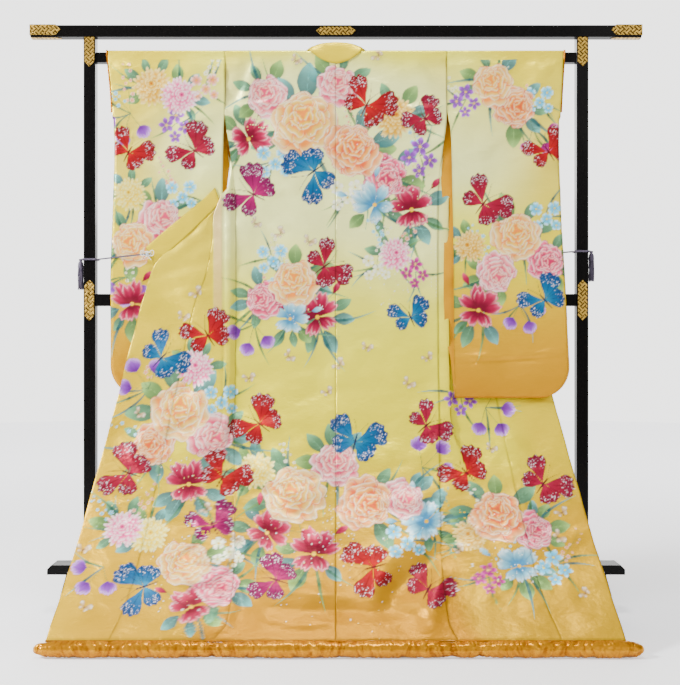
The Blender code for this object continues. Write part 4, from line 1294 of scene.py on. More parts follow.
def peony(canvas, x, v, size, kind, turn, seed):
    """A full many-petalled flower, opened towards the turn."""
    rng = np.random.default_rng(seed)
    base, body, rim, line, heart = PEONY_TONES[kind]
    lean = math.radians(turn)
    for ring, (count, reach, width, hidden) in enumerate(PEONY_RINGS):
        share = ring / (len(PEONY_RINGS) - 1)
        cx, cv = at(x, v, turn, 0.30 * size * (1.0 - reach))
        start = rng.uniform(0, 360)
        inner_body = tone_between(body, heart, 0.75 * share)
        inner_rim = tone_between(rim, heart, 0.25 * share)
        for k in range(count):
            angle = start + 360.0 * k / count + rng.uniform(-9, 9)
            long = size * reach * rng.uniform(0.86, 1.10)
            facing = math.cos(math.radians(angle) - lean)
            long *= 1.0 - 0.22 * (1.0 - share) * max(0.0, facing)
            petal(canvas, cx, cv, angle, long, size * width * rng.uniform(0.9, 1.12),
                  (base, inner_body, inner_rim), hidden=hidden, belly=2.7, full=0.40,
                  notch=rng.uniform(0.0, 0.10), ruffle=0.03, line=line, seed=rng.uniform(0, 6.28))


DAISY_TONES = {
    # base, body, rim
    "orange": ((182, 74, 14), (224, 164, 14), (248, 224, 140)),
    "magenta": ((158, 14, 80), (248, 86, 152), (248, 236, 230)),
    "yellow": ((182, 122, 14), (248, 212, 14), (248, 242, 158)),
}
DAISY_RINGS = (
    # petals, reach, hidden
    (24, 1.0, 0.35), (22, 0.83, 0.35), (19, 0.66, 0.35),
    (15, 0.50, 0.35), (11, 0.35, 0.0), (7, 0.2, 0.0),
)


def daisy(canvas, x, v, size, kind, turn, seed):
    """A chrysanthemum of narrow petals in rings."""
    rng = np.random.default_rng(seed)
    for count, reach, hidden in DAISY_RINGS:
        cx, cv = at(x, v, turn, 0.2 * size * (1.0 - reach))
        start = rng.uniform(0, 360)
        for k in range(count):
            angle = start + 360.0 * k / count + rng.uniform(-4, 4)
            petal(canvas, cx, cv, angle, size * reach * rng.uniform(0.88, 1.05), size * 0.095,
                  DAISY_TONES[kind], hidden=hidden, seed=rng.uniform(0, 6.28),
                  bend=rng.uniform(-0.8, 0.8))


BLOSSOM_TONES = {
    # base, body, rim, heart
    "blue": ((38, 152, 206), (86, 206, 248), (212, 248, 248), (248, 224, 20)),
    "white": ((218, 236, 164), (248, 248, 206), (248, 248, 236), (218, 176, 14)),
    "shell": ((236, 104, 80), (248, 170, 140), (248, 230, 212), (236, 170, 14)),
    "violet": ((104, 38, 140), (134, 62, 176), (188, 98, 230), (248, 206, 50)),
    "mauve": ((134, 14, 98), (170, 32, 128), (236, 86, 182), (248, 206, 86)),
}


def blossom(canvas, x, v, size, kind, turn, seed, pointed=False):
    """A five-petalled blossom; pointed gives a star."""
    base, body, rim, heart = BLOSSOM_TONES[kind]
    belly, full, notch, width = (1.25, 0.95, 0.0, 0.30) if pointed else (2.1, 0.5, 0.10, 0.38)
    for k in range(5):
        angle = turn + 72.0 * k
        petal(canvas, x, v, angle, size, size * width, (base, body, rim), belly=belly, full=full,
              notch=notch, seed=seed + k)
        stroke(canvas, curve(x, v, angle, 0.55 * size, 0.0, 3), (0.14, 0.05), (heart, base), 0.8)
    dot(canvas, x, v, 0.13 * size, heart)


def bell(canvas, x, v, size, kind, turn, seed):
    """A closed cup of petals opening along the turn."""
    base, body, rim, _ = BLOSSOM_TONES[kind]
    for lean in (-30, 30, -13, 13, 0):
        petal(canvas, x, v, turn + lean, size * (1.0 - 0.004 * abs(lean)), size * 0.25,
              (base, body, rim), hidden=0.1, belly=1.3, full=0.7, ruffle=0.02, line=rim,
              seed=seed + lean)


LILY_PETALS = (
    # lean, length, width; the rising ones come first, under the falling ones
    (140, 0.85, 0.22),
    (40, 0.88, 0.22),
    (112, 0.72, 0.20),
    (68, 0.78, 0.20),
    (-158, 1.00, 0.26),
    (-22, 1.00, 0.26),
    (-118, 1.10, 0.30),
    (-62, 1.14, 0.30),
    (-90, 0.92, 0.28),
)


LILY_TONES = {
    # base, body, rim, line
    "crimson": ((110, 10, 42), (162, 18, 66), (222, 74, 112), (238, 120, 138)),
    "aqua": ((56, 132, 176), (128, 194, 214), (212, 236, 240), (74, 150, 190)),
}


def lily(canvas, x, v, size, kind, turn, seed):
    """A loose flower with ruffled petals, and two long buds hanging from it."""
    rng = np.random.default_rng(seed)
    deep, body, rim, line = LILY_TONES[kind]
    for lean in (-128, -48):
        stem = curve(x, v, turn - 90 + lean, size * rng.uniform(1.1, 1.4), rng.uniform(-0.3, 0.3))
        stroke(canvas, stem, (0.22, 0.14), ((66, 122, 84), (80, 140, 98)), 0.9)
        petal(canvas, stem[-1][0], stem[-1][1], turn - 90 + 1.1 * lean, 0.62 * size, 0.13 * size,
              (deep, body, rim), belly=1.2, full=0.8, seed=1.0)
    for lean, long, wide in LILY_PETALS:
        petal(canvas, x, v, turn - 90 + lean + rng.uniform(-9, 9), size * long, size * wide,
              (deep, body, rim), hidden=0.25, belly=1.9, full=0.55,
              notch=rng.uniform(0.0, 0.12), ruffle=0.05, line=line, seed=rng.uniform(0, 6.28),
              bend=rng.uniform(-0.5, 0.5))
    dot(canvas, x, v, 0.09 * size, (242, 188, 14))


LEAF_TONES = (
    ((44, 86, 74), (74, 128, 98), (122, 188, 134)),
    ((38, 84, 88), (70, 126, 124), (112, 192, 184)),
    ((62, 104, 68), (98, 140, 80), (158, 200, 110)),
)


def leaf(canvas, x, v, length, turn, seed):
    """A leaf with its mid rib and veins."""
    tones = LEAF_TONES[seed % len(LEAF_TONES)]
    _, body, rim = tones
    wide = length * (0.24 + 0.03 * (seed % 3))
    petal(canvas, x, v, turn, length, wide, tones, belly=1.05, full=0.85, ruffle=0.01,
          cover=0.96, seed=seed)
    stroke(canvas, curve(x, v, turn, 0.93 * length, 0.0, 3), (0.13, 0.04), (rim, rim), 0.7)
    for share in (0.25, 0.42, 0.58, 0.73):
        px, pv = at(x, v, turn, share * length)
        run = 0.75 * wide * (1.0 - 0.5 * abs(share - 0.45))
        for side in (-1, 1):
            rib = curve(px, pv, turn + side * 42, run, 0.0, 2)
            stroke(canvas, rib, (0.09, 0.03), (rim, body), 0.55)


def blade(canvas, x, v, length, turn, bow, seed):
    """A long narrow leaf."""
    tones = LEAF_TONES[seed % len(LEAF_TONES)]
    line = curve(x, v, turn, length, bow, 9)
    half = len(line) // 2 + 1
    wide = 0.12 * length ** 0.75
    stroke(canvas, line[:half], (0.3 * wide, wide), (tones[1], tones[0]), 0.9)
    stroke(canvas, line[half - 1:], (wide, 0.03), (tones[0], tones[2]), 0.9)


def sprig(canvas, x, v, length, turn, kind, seed):
    """A thin stem with small blossoms and buds along it."""
    rng = np.random.default_rng(seed)
    line = curve(x, v, turn, length, rng.uniform(-0.3, 0.3), 9)
    stroke(canvas, line, (0.14, 0.05), (STEM_GREEN, STEM_TIP), 0.9)
    base, body, rim, heart = BLOSSOM_TONES[kind]
    for k in range(2, len(line)):
        for side in (-1, 1):
            if rng.uniform() < 0.2:
                continue
            reach = rng.uniform(0.7, 1.5)
            twig = curve(line[k][0], line[k][1], turn + side * rng.uniform(35, 75), reach, 0.0, 2)
            stroke(canvas, twig, (0.07, 0.05), ((86, 116, 74), (110, 146, 80)), 0.9)
            size = rng.uniform(0.4, 0.8) * (1.1 - 0.05 * k)
            end_x, end_v = twig[-1]
            for turn_by in range(0, 360, 72):
                petal(canvas, end_x, end_v, turn_by + seed, size, 0.4 * size,
                      (base, body, rim), belly=1.9, full=0.55, cover=0.95)
            dot(canvas, end_x, end_v, 0.12, heart)


WING_TONES = {
    # by the body, body of the wing, outer part
    "red": ((188, 14, 26), (158, 14, 32), (128, 14, 32)),
    "crimson": ((164, 14, 62), (146, 14, 50), (122, 14, 50)),
    "magenta": ((170, 14, 98), (140, 14, 86), (110, 14, 74)),
    "blue": ((14, 122, 158), (14, 92, 140), (14, 62, 116)),
}
def wing(canvas, x, v, turn, length, width, kind, seed, belly):
    """A butterfly's wing with silvery flecks over its outer part."""
    spot = canvas.laid_out(x, v, turn, length, width)
    if spot is None:
        return
    area, dx, dv, ahead, over = spot
    across = over / width
    scallop = 1.0 + 0.035 * np.cos(across * 9.0 + seed)
    s = ahead / length / scallop
    inside = np.clip(s, 0.0, 1.0)
    half = np.sin(math.pi * inside ** belly) ** 0.5
    far = np.minimum((half - np.abs(across)) * width, (1.0 - s) * length)
    far = np.where(s > 0.0, far, -1.0)
    shown = np.clip(far / 0.1 + 0.5, 0.0, 1.0)
    inner, body, outer = [linear(tone) for tone in WING_TONES[kind]]
    colour = inner + (body - inner) * smooth_step(0.05, 0.5, inside)[..., None]
    colour = colour + (outer - colour) * smooth_step(0.45, 0.95, inside)[..., None]
    fan = np.arctan2(over, ahead + 0.12 * length)
    rib = np.exp(-(np.sin(fan * 9.0) / 0.22) ** 2) * smooth_step(0.15, 0.35, inside)
    colour = colour * (1.0 - 0.42 * rib)[..., None]
    coarse = noise((dx + 40.0) / 0.26, (dv + 40.0) / 0.26, seed)
    flecks = coarse + 0.6 * noise((dx + 20.0) / 0.14, (dv + 9.0) / 0.14, seed + 1)
    zone = smooth_step(0.40, 0.72, inside + 0.12 * np.abs(across))
    mask = smooth_step(0.50, 0.68, flecks - 1.2 * (1.0 - zone)) * (1.0 - 0.85 * rib)
    colour = colour + (linear(SILVER) - colour) * (0.85 * mask)[..., None]
    rimmed = np.exp(-((far - 0.05) / 0.09) ** 2)
    colour = colour * (1.0 - 0.45 * rimmed)[..., None]
    canvas.lay(area, colour, shown)


def butterfly(canvas, x, v, size, heading, kind, seed, far_side):
    """A butterfly seen from above, its far pair of wings foreshortened."""
    for side, depth in ((1, far_side), (-1, 1.0)):
        tuck = 1.0 - 0.5 * (1.0 - depth)
        wing(canvas, x, v, heading + side * 120 * tuck, 0.46 * size, 0.23 * size * depth, kind,
             seed + 3, 2.0)
        wing(canvas, x, v, heading + side * 56 * tuck, 0.66 * size, 0.26 * size * depth, kind,
             seed, 2.7)
    deep = tone_between(WING_TONES[kind][2], BODY_DARK, 0.5)
    stroke(canvas, curve(x, v, heading + 180, 0.26 * size, 0.05, 4), (0.55, 0.2), (deep, deep))
    stroke(canvas, curve(x, v, heading, 0.14 * size, 0.0, 3), (0.55, 0.4), (deep, deep))
    head = at(x, v, heading, 0.13 * size)
    for lean in (-20, 16):
        feeler = curve(*head, heading + lean, 0.34 * size, 0.12 * np.sign(lean), 6)
        stroke(canvas, feeler, (0.13, 0.07), (deep, deep), 0.9)
        dot(canvas, feeler[-1][0], feeler[-1][1], 0.11, deep)


STARS = ((0.0, 0.55), (-0.62, -0.1), (0.55, -0.25), (-0.05, -0.85))
SPRAY = ((0.6, 0.5), (-0.6, 0.45), (0.1, -0.2), (-0.55, -0.65), (0.7, -0.6))


def stars(canvas, x, v, size, kind, turn, seed):
    """A cluster of star-shaped blossoms."""
    for k, (dx, dv) in enumerate(STARS):
        blossom(canvas, x + dx * size, v + dv * size, size * (0.58 - 0.05 * k), kind,
                turn + 31 * k, seed, pointed=True)


def spray(canvas, x, v, size, kind, turn, seed):
    """A cluster of round-petalled blossoms."""
    for k, (dx, dv) in enumerate(SPRAY):
        blossom(canvas, x + dx * size, v + dv * size, size * (0.48 - 0.03 * k), kind,
                turn + 23 * k, seed)


def bells(canvas, x, v, size, kind, turn, seed):
    """Three closed cups on stems."""
    for k in range(3):
        lean = turn + (k - 1) * 52
        stem = curve(x, v, lean, size * (0.9 + 0.25 * (k % 2)), 0.1, 5)
        stroke(canvas, stem, (0.14, 0.1), ((68, 104, 80), (80, 122, 86)))
        bell(canvas, stem[-1][0], stem[-1][1], 0.85 * size, kind, lean, seed)


FAMILIES = {
    "peony": peony,
    "daisy": daisy,
    "lily": lily,
    "stars": stars,
    "spray": spray,
    "bells": bells,
}


def greenery(canvas, bouquet, seed):
    """Leaves, long blades and sprigs round a bouquet's flowers, drawn beneath them."""
    rng = np.random.default_rng(seed)
    rows = np.array([(x, z) for _, x, z, _, _ in bouquet], float)
    middle = rows.mean(0)
    for kind, x, z, size, _ in bouquet:
        away = math.degrees(math.atan2(z - middle[1], x - middle[0]))
        v = float(cloth_height(z))
        if kind.startswith(("peony", "daisy", "lily")):
            for k in range(4):
                lean = away + (k - 1.5) * 44 + rng.uniform(-14, 14)
                leaf(canvas, *at(x, v, lean, 0.62 * size), size * rng.uniform(0.85, 1.2), lean,
                     int(rng.integers(0, 90)))
        for k in range(3):
            lean = away + rng.uniform(-70, 70)
            if math.sin(math.radians(lean)) > -0.2 and rng.uniform() < 0.55:
                lean = -lean
            blade(canvas, x, v, size * rng.uniform(1.8, 2.7), lean, rng.uniform(-0.6, 0.6),
                  int(rng.integers(0, 90)))
    for kind in ("white", "shell", "blue"):
        pick = rows[int(rng.integers(0, len(rows)))]
        lean = 90 + rng.uniform(-55, 55)
        sprig(canvas, pick[0], float(cloth_height(pick[1])), rng.uniform(11, 15), lean, kind,
              int(rng.integers(0, 999)))


def draw_bouquets(canvas, bouquets, first_seed):
    for number, bouquet in enumerate(bouquets):
        seed = first_seed + BOUQUET_SEED_STEP * number
        greenery(canvas, bouquet, seed)
        for k, (kind, x, z, size, turn) in enumerate(bouquet):
            family, _, tone = kind.partition(" ")
            v = float(cloth_height(z))
            FAMILIES[family](canvas, x, v, size, tone, turn, seed * 100 + k)


def draw_butterflies(canvas, rows, first_seed, far_side, far_step=0.0):
    for k, (x, z, size, heading, kind) in enumerate(rows):
        butterfly(canvas, x, float(cloth_height(z)), 1.15 * size, heading, kind,
                  first_seed + BUTTERFLY_SEED_STEP * k, far_side + far_step * (k % 4))


# each bouquet lists its flowers from the lowest layer to the top one
BODY_BOUQUETS = (
    (   # kind, x, z, size, turn
        ("lily crimson", -26.0, 141.0, 6.5, 200),
        ("stars violet", 25.0, 136.0, 5.2, 10),
        ("spray blue", -18.5, 134.5, 5.0, 40),
        ("daisy orange", 17.5, 147.5, 6.4, 60),
        ("peony pink", -20.5, 154.0, 6.8, 120),
        ("peony pink", 0.5, 157.0, 6.4, 80),
        ("lily crimson", 22.5, 120.0, 7.0, -80),
        ("peony rose", 14.5, 130.0, 7.0, -40),
        ("spray white", 3.0, 124.5, 4.6, 0),
        ("lily aqua", 11.5, 121.5, 6.6, -50),
        ("peony cream", -9.5, 146.0, 10.2, 100),
        ("peony peach", 5.0, 138.0, 8.6, 60),
    ),
    (
        ("spray blue", -19.0, 105.5, 4.4, 10),
        ("lily crimson", -5.5, 88.0, 7.0, -70),
        ("bells violet", -24.0, 86.0, 5.0, -110),
        ("lily aqua", -13.5, 87.5, 5.6, -110),
        ("peony rose", -21.5, 93.5, 5.8, 170),
        ("peony cream", -12.5, 98.5, 7.2, 90),
    ),
    (
        ("stars mauve", 23.5, 101.5, 4.0, 0),
        ("spray white", 12.0, 103.0, 4.0, 20),
        ("daisy magenta", 17.5, 106.5, 5.2, 60),
    ),
    (
        ("bells violet", 24.5, 45.0, 5.4, 40),
        ("daisy yellow", -22.5, 44.0, 5.8, 150),
        ("spray blue", 19.0, 26.5, 5.2, 10),
        ("lily aqua", 25.0, 31.0, 6.4, -40),
        ("lily crimson", -6.0, 23.0, 7.4, -95),
        ("lily crimson", -19.0, 28.0, 6.4, -130),
        ("peony pink", 0.0, 46.0, 7.0, 80),
        ("peony pink", 19.0, 36.5, 6.4, 10),
        ("peony peach", 8.5, 35.5, 8.6, -20),
        ("peony cream", -12.0, 38.0, 9.0, 120),
    ),
    (
        ("bells violet", -54.5, 67.0, 5.4, 120),
        ("spray blue", -33.5, 64.0, 4.6, 0),
        ("daisy magenta", -41.0, 73.0, 5.8, 90),
        ("lily crimson", -41.5, 40.5, 7.0, -80),
        ("peony pink", -35.5, 53.5, 7.2, -10),
        ("peony peach", -52.0, 51.5, 6.8, 190),
        ("peony cream", -45.0, 61.0, 9.0, 90),
    ),
    (
        ("bells violet", -62.5, 20.0, 5.2, -130),
        ("spray white", -29.5, 24.0, 4.4, 0),
        ("lily crimson", -38.0, 11.0, 6.0, -60),
        ("daisy yellow", -51.5, 27.5, 5.8, 60),
        ("daisy magenta", -58.5, 29.0, 5.8, 120),
        ("peony rose", -31.5, 15.5, 6.4, -20),
        ("peony cream", -41.0, 21.0, 7.6, 80),
    ),
    (
        ("bells violet", 43.5, 61.5, 5.0, -60),
        ("stars violet", 36.5, 64.5, 4.6, 0),
    ),
    (
        ("stars blue", 59.0, 20.0, 4.8, 0),
        ("stars mauve", 41.0, 17.5, 4.2, 0),
        ("lily aqua", 49.5, 20.0, 6.2, -80),
        ("daisy orange", 37.0, 27.5, 5.0, 150),
        ("peony rose", 54.5, 28.5, 6.0, 10),
        ("peony peach", 45.0, 32.5, 8.2, 90),
    ),
)
BODY_BUTTERFLIES = (
    # x, z, size, heading, kind
    (-24.5, 124.5, 12.5, 150, "magenta"),
    (9.0, 151.0, 12.5, 60, "red"),
    (-6.5, 131.5, 13.0, 215, "blue"),
    (26.5, 147.0, 9.5, 130, "crimson"),
    (-3.5, 103.0, 11.5, 35, "crimson"),
    (22.0, 88.0, 9.5, 110, "blue"),
    (-22.0, 57.0, 12.0, 140, "red"),
    (5.5, 52.0, 12.5, 75, "blue"),
    (26.0, 56.5, 10.5, 40, "crimson"),
    (10.0, 20.0, 12.5, 200, "red"),
    (-16.0, 17.0, 11.0, 160, "magenta"),
    (24.5, 15.0, 10.5, 60, "crimson"),
    (-37.5, 82.5, 11.5, 120, "red"),
    (-51.0, 76.0, 11.5, 45, "blue"),
    (-58.5, 43.5, 12.5, 160, "crimson"),
    (-32.0, 42.5, 11.5, 60, "red"),
    (-51.0, 15.5, 12.5, 200, "blue"),
    (-34.0, 30.0, 11.0, 115, "magenta"),
    (58.5, 40.5, 11.5, 50, "crimson"),
    (37.0, 43.5, 11.0, 130, "red"),
)
SLEEVE_BOUQUETS = (
    (
        ("bells violet", -61.0, 148.5, 5.0, -110),
        ("stars violet", -47.5, 145.5, 4.6, 0),
        ("spray shell", -39.0, 156.5, 4.0, 0),
        ("daisy orange", -54.5, 156.5, 6.0, 110),
        ("daisy magenta", -46.5, 153.5, 5.8, 40),
    ),
    (
        ("bells violet", -62.0, 100.0, 4.6, -100),
        ("lily crimson", -60.5, 92.0, 6.6, -80),
        ("lily aqua", -47.5, 107.0, 6.0, -60),
        ("spray blue", -46.0, 124.5, 4.4, 0),
        ("daisy yellow", -61.0, 124.5, 5.0, 130),
        ("peony pink", -52.0, 117.0, 7.0, 40),
        ("peony cream", -60.5, 110.0, 7.0, 160),
    ),
    (
        ("stars violet", 38.5, 152.5, 4.4, 0),
        ("bells mauve", 58.5, 144.0, 4.6, -60),
        ("spray blue", 60.0, 152.5, 4.2, 0),
        ("peony peach", 53.0, 150.5, 6.8, 0),
        ("peony cream", 46.5, 157.5, 6.6, 120),
    ),
    (
        ("lily crimson", 42.0, 90.0, 6.8, -100),
        ("spray blue", 62.0, 118.0, 4.6, 0),
        ("daisy orange", 39.5, 109.0, 5.0, 150),
        ("bells violet", 54.0, 91.5, 4.6, -70),
        ("peony pink", 47.5, 101.0, 6.2, -60),
        ("peony rose", 62.0, 104.5, 6.0, 0),
        ("peony cream", 53.5, 112.0, 7.6, 90),
    ),
)
SLEEVE_BUTTERFLIES = (
    # x, z, size, heading, kind
    (-42.0, 137.5, 11.5, 140, "crimson"),
    (-61.5, 137.0, 10.5, 60, "red"),
    (63.0, 137.0, 10.5, 120, "red"),
    (43.5, 121.5, 12.0, 50, "crimson"),
    (61.5, 93.0, 11.0, 130, "blue"),
)


SMALL_BUTTERFLIES = (
    # x, z, heading
    (-24.0, 116.0, 40), (-16.5, 113.0, 150), (-8.0, 110.5, 60), (27.0, 76.0, 120),
    (-14.0, 76.5, 30),
    (1.0, 74.0, 140), (9.0, 79.0, 70), (-25.5, 70.0, 100), (21.0, 68.5, 50), (-2.5, 66.0, 120),
    (-45.0, 88.0, 70), (-41.0, 95.0, 130), (-57.0, 60.0, 40), (-36.0, 34.0, 140), (-27.5, 26.5, 60),
    (44.5, 50.0, 60), (63.0, 33.0, 120), (61.0, 27.0, 30), (66.0, 14.0, 150), (-66.0, 11.0, 60),
    (12.5, 166.0, 150), (-12.0, 164.5, 50), (33.5, 24.0, 130), (-69.0, 24.0, 80),
)
DUSTED = (
    # x, z, spread, how many
    (-9.0, 30.0, 15.0, 90), (-44.0, 50.0, 13.0, 90), (-40.0, 18.0, 13.0, 80),
    (10.0, 28.0, 14.0, 80),
    (47.0, 24.0, 12.0, 70), (-12.0, 93.0, 9.0, 40), (16.0, 99.0, 8.0, 40), (2.0, 136.0, 16.0, 90),
    (-18.0, 146.0, 9.0, 40), (20.0, 128.0, 10.0, 50), (-58.0, 34.0, 11.0, 50),
    (0.0, 10.0, 22.0, 40),
)


PALE_WING = ((110, 70, 44), (214, 178, 132), (246, 236, 214))
PALE_WING_LINE = (120, 84, 52)
PALE_BODY = (90, 60, 50)


def small_butterfly(canvas, x, v, size, heading, seed):
    """A pale butterfly, half faded into the ground."""
    for side, depth in ((1, 0.7), (-1, 1.0)):
        for lean, long, wide in ((118, 0.5, 0.26), (58, 0.8, 0.30)):
            petal(canvas, x, v, heading + side * lean, long * size, wide * size * depth,
                  PALE_WING, belly=2.2, full=0.55, ruffle=0.05, line=PALE_WING_LINE, cover=0.9,
                  seed=seed)
    body = curve(x, v, heading + 180, 0.4 * size, 0.0, 3)
    stroke(canvas, body, (0.2, 0.1), (PALE_BODY, PALE_BODY))


def draw_dust(canvas):
    """Gold and silver specks scattered over the sprays."""
    rng = np.random.default_rng(DUST_SEED)
    for x, z, spread, count in DUSTED:
        v = float(cloth_height(z))
        for _ in range(count):
            angle = rng.uniform(0, 2 * math.pi)
            reach = spread * rng.uniform(0.1, 1.0) ** 0.7
            tone = DUST_TONES[int(rng.integers(0, len(DUST_TONES)))]
            dot(canvas, x + reach * math.cos(angle), v + reach * math.sin(angle),
                rng.uniform(0.10, 0.22), tone, 0.9)


# left, right, low, high
BODY_SHEET = (-78.0, 78.0, -16.0, 168.5)
SLEEVE_SHEET = (-69.0, 69.0, 62.0, 168.5)


def draw_canvases():
    """The drawings for the body's panels and for the sleeves."""
    body = Canvas(*BODY_SHEET)
    draw_bouquets(body, BODY_BOUQUETS, BODY_BOUQUET_SEED)
    for k, (x, z, heading) in enumerate(SMALL_BUTTERFLIES):
        small_butterfly(body, x, float(cloth_height(z)), 2.6 + 0.2 * (k % 3), heading, k)
    draw_butterflies(body, BODY_BUTTERFLIES, BODY_BUTTERFLY_SEED, 0.72, 0.05)
    draw_dust(body)
    arms = Canvas(*SLEEVE_SHEET)
    draw_bouquets(arms, SLEEVE_BOUQUETS, SLEEVE_BOUQUET_SEED)
    draw_butterflies(arms, SLEEVE_BUTTERFLIES, SLEEVE_BUTTERFLY_SEED, 0.75)
    return body, arms


PRINT_STEP = 0.27
REAR_PRINT_STEP = 0.45
PRINT_LIFT = WALL / 2 + 0.05


def print_piece(name, grid, sign, canvas, ground, flip=1.0):
    """The printed part of a panel: the cells of a close grid that the drawing covers."""
    v = cloth_height(grid[..., 2])
    paint, cover = canvas.read(grid[..., 0] * flip, v)
    shown = cover > 0.02
    cell = shown[:-1, :-1] | shown[1:, :-1] | shown[:-1, 1:] | shown[1:, 1:]
    rows, columns = grid.shape[:2]
    faces = grid_faces(rows, columns)[cell.ravel()]
    if sign > 0:
        faces = faces[:, ::-1]
    used, faces = np.unique(faces, return_inverse=True)
    points = (sunk(grown(grid), sign) + normals(grid, sign) * PRINT_LIFT).reshape(-1, 3)[used]
    # the print takes the same painted shade beside the seams
    colours = (paint + ground(grid) * (1.0 - cover)[..., None]) * seam_painted_shade(grid)
    colours = colours.reshape(-1, 3)[used]
    piece = new_mesh(name, points, faces.reshape(-1, 4), None, colours)
    return finish_piece(piece, (SATIN_FACE,), None)


def build_prints():
    """The printed pieces, listed by the panel that carries them."""
    body, arms = draw_canvases()
    made = {}
    for side, word in WORDS.items():
        hung = front_panel(side, PRINT_STEP, SEAM_FIRST_ROW + 1)
        panels = (
            ("back_" + word, back_panel(side, PRINT_STEP)),
            ("front_" + word, hung),
            ("okumi_" + word, okumi(side, PRINT_STEP)),
        )
        for panel, grid in panels:
            made[panel] = [print_piece("print_" + panel, grid, side, body, body_ground)]
        made["sleeve_" + word] = []
        for part, step, flip in (("front", PRINT_STEP, 1.0), ("rear", REAR_PRINT_STEP, -1.0)):
            piece = print_piece(f"print_sleeve_{word}_{part}", sleeve(side, step, part), -side,
                                arms, sleeve_ground, flip)
            made["sleeve_" + word].append(piece)
    return made


build_prints()


# ---------------------------------------------------------------- roll, cuffs and ties
def directions(path, closed=False):
    """Unit directions along a path at each of its points."""
    ahead = np.roll(path, -1, 0) - np.roll(path, 1, 0)
    if not closed:
        ahead[0] = path[1] - path[0]
        ahead[-1] = path[-1] - path[-2]
    return ahead / np.linalg.norm(ahead, axis=1, keepdims=True)


def swept(path, radii, sides, lowest=0.0, closed=False):
    """Points and faces of a tube whose radius may change round each ring; open ends are closed."""
    path = np.asarray(path, float)
    count = len(path)
    ahead = directions(path, closed)
    up = np.zeros((count, 3))
    side = np.cross(ahead[0], (0.13, 0.21, 1.0))
    side /= np.linalg.norm(side)
    for k in range(count):
        side = side - ahead[k] * (side @ ahead[k])
        side /= np.linalg.norm(side)
        up[k] = side
    over = np.cross(ahead, up)
    turn = turns(sides)[None, :, None]
    ring = np.cos(turn) * up[:, None, :] + np.sin(turn) * over[:, None, :]
    radii = np.asarray(radii, float)
    if radii.ndim < 2:
        radii = np.broadcast_to(np.reshape(radii, (-1, 1)), (count, sides))
    points = path[:, None, :] + radii[..., None] * ring
    points[..., 2] = np.maximum(points[..., 2], lowest)
    points = points.reshape(-1, 3)
    j = np.arange(sides)
    nxt = (j + 1) % sides
    faces = []
    for k in range(count if closed else count - 1):
        here = k * sides
        there = (k + 1) % count * sides
        faces.append(np.stack([here + j, here + nxt, there + nxt, there + j], 1))
    if not closed:
        first = len(points)
        base = first - sides
        points = np.concatenate([points, path[[0, -1]]])
        faces.append(np.stack([np.full(sides, first), nxt, j, j], 1))
        faces.append(np.stack([np.full(sides, first + 1), base + j, base + nxt, base + nxt], 1))
    return points, np.concatenate(faces)


def tube(path, radii, sides, tone, closed=False):
    """A swept tube in one linear colour: its points, faces and colours."""
    points, faces = swept(path, radii, sides, closed=closed)
    return points, faces, np.broadcast_to(tone, points.shape)


def join(parts):
    """One set of points, faces and colours out of several."""
    points, faces, colours = zip(*parts)
    starts = np.cumsum([0] + [len(part) for part in points[:-1]])
    faces = [part + start for part, start in zip(faces, starts)]
    return np.concatenate(points), np.concatenate(faces), np.concatenate(colours)


def add_part(name, drawn, look, node=None):
    """A piece out of drawn points, faces and colours."""
    return finish_piece(from_quads(name, *drawn), (look,), node)


ROLL_GATHERS = (
    # x, reach, depth
    (-57.9, 2.2, 0.10),
    (-31.5, 2.6, 0.20),
    (0.8, 2.4, 0.16),
    (29.5, 2.6, 0.18),
    (36.5, 2.4, 0.18),
    (58.5, 2.2, 0.12),
)


def hem_turn():
    """The strip where the cloth's foot turns into the top of the roll, drawn into fine gathers."""
    x = np.arange(-74.3, 74.4, 0.25)
    share = np.linspace(0.0, 1.0, 9)[:, None]
    gather = noise(x / 0.8, 2.0, ROLL_SEED + 4)[None, :] * np.sin(math.pi * share)
    z = HEM_Z + 0.12 - 0.34 * share ** 2 + 0.07 * gather
    upper = points_of(x[None, :], -47.3 - 2.9 * share, z)
    lower = upper - np.array([0.0, 0.0, 0.16])
    rows, columns = upper.shape[:2]
    under = grid_faces(rows, columns, rows * columns)[:, ::-1]
    faces = np.concatenate([grid_faces(rows, columns), under])
    ground = blend(linear(DEEP_GOLD), linear(ROLL_GOLD), share[..., None])
    # painted light and shade on the gathers: lighter where they rise, darker where they sink
    painted_shading = (0.95 + 0.25 * gather)[..., None] * ground
    tone = np.concatenate([painted_shading.reshape(-1, 3)] * 2)
    return np.concatenate([upper.reshape(-1, 3), lower.reshape(-1, 3)]), faces, tone


ROLL_SIDES = 44
FLOOR_LIFT = 0.02
# painted shade at the centres of the tubes' end caps
END_SHADE = (0.8, 0.8)


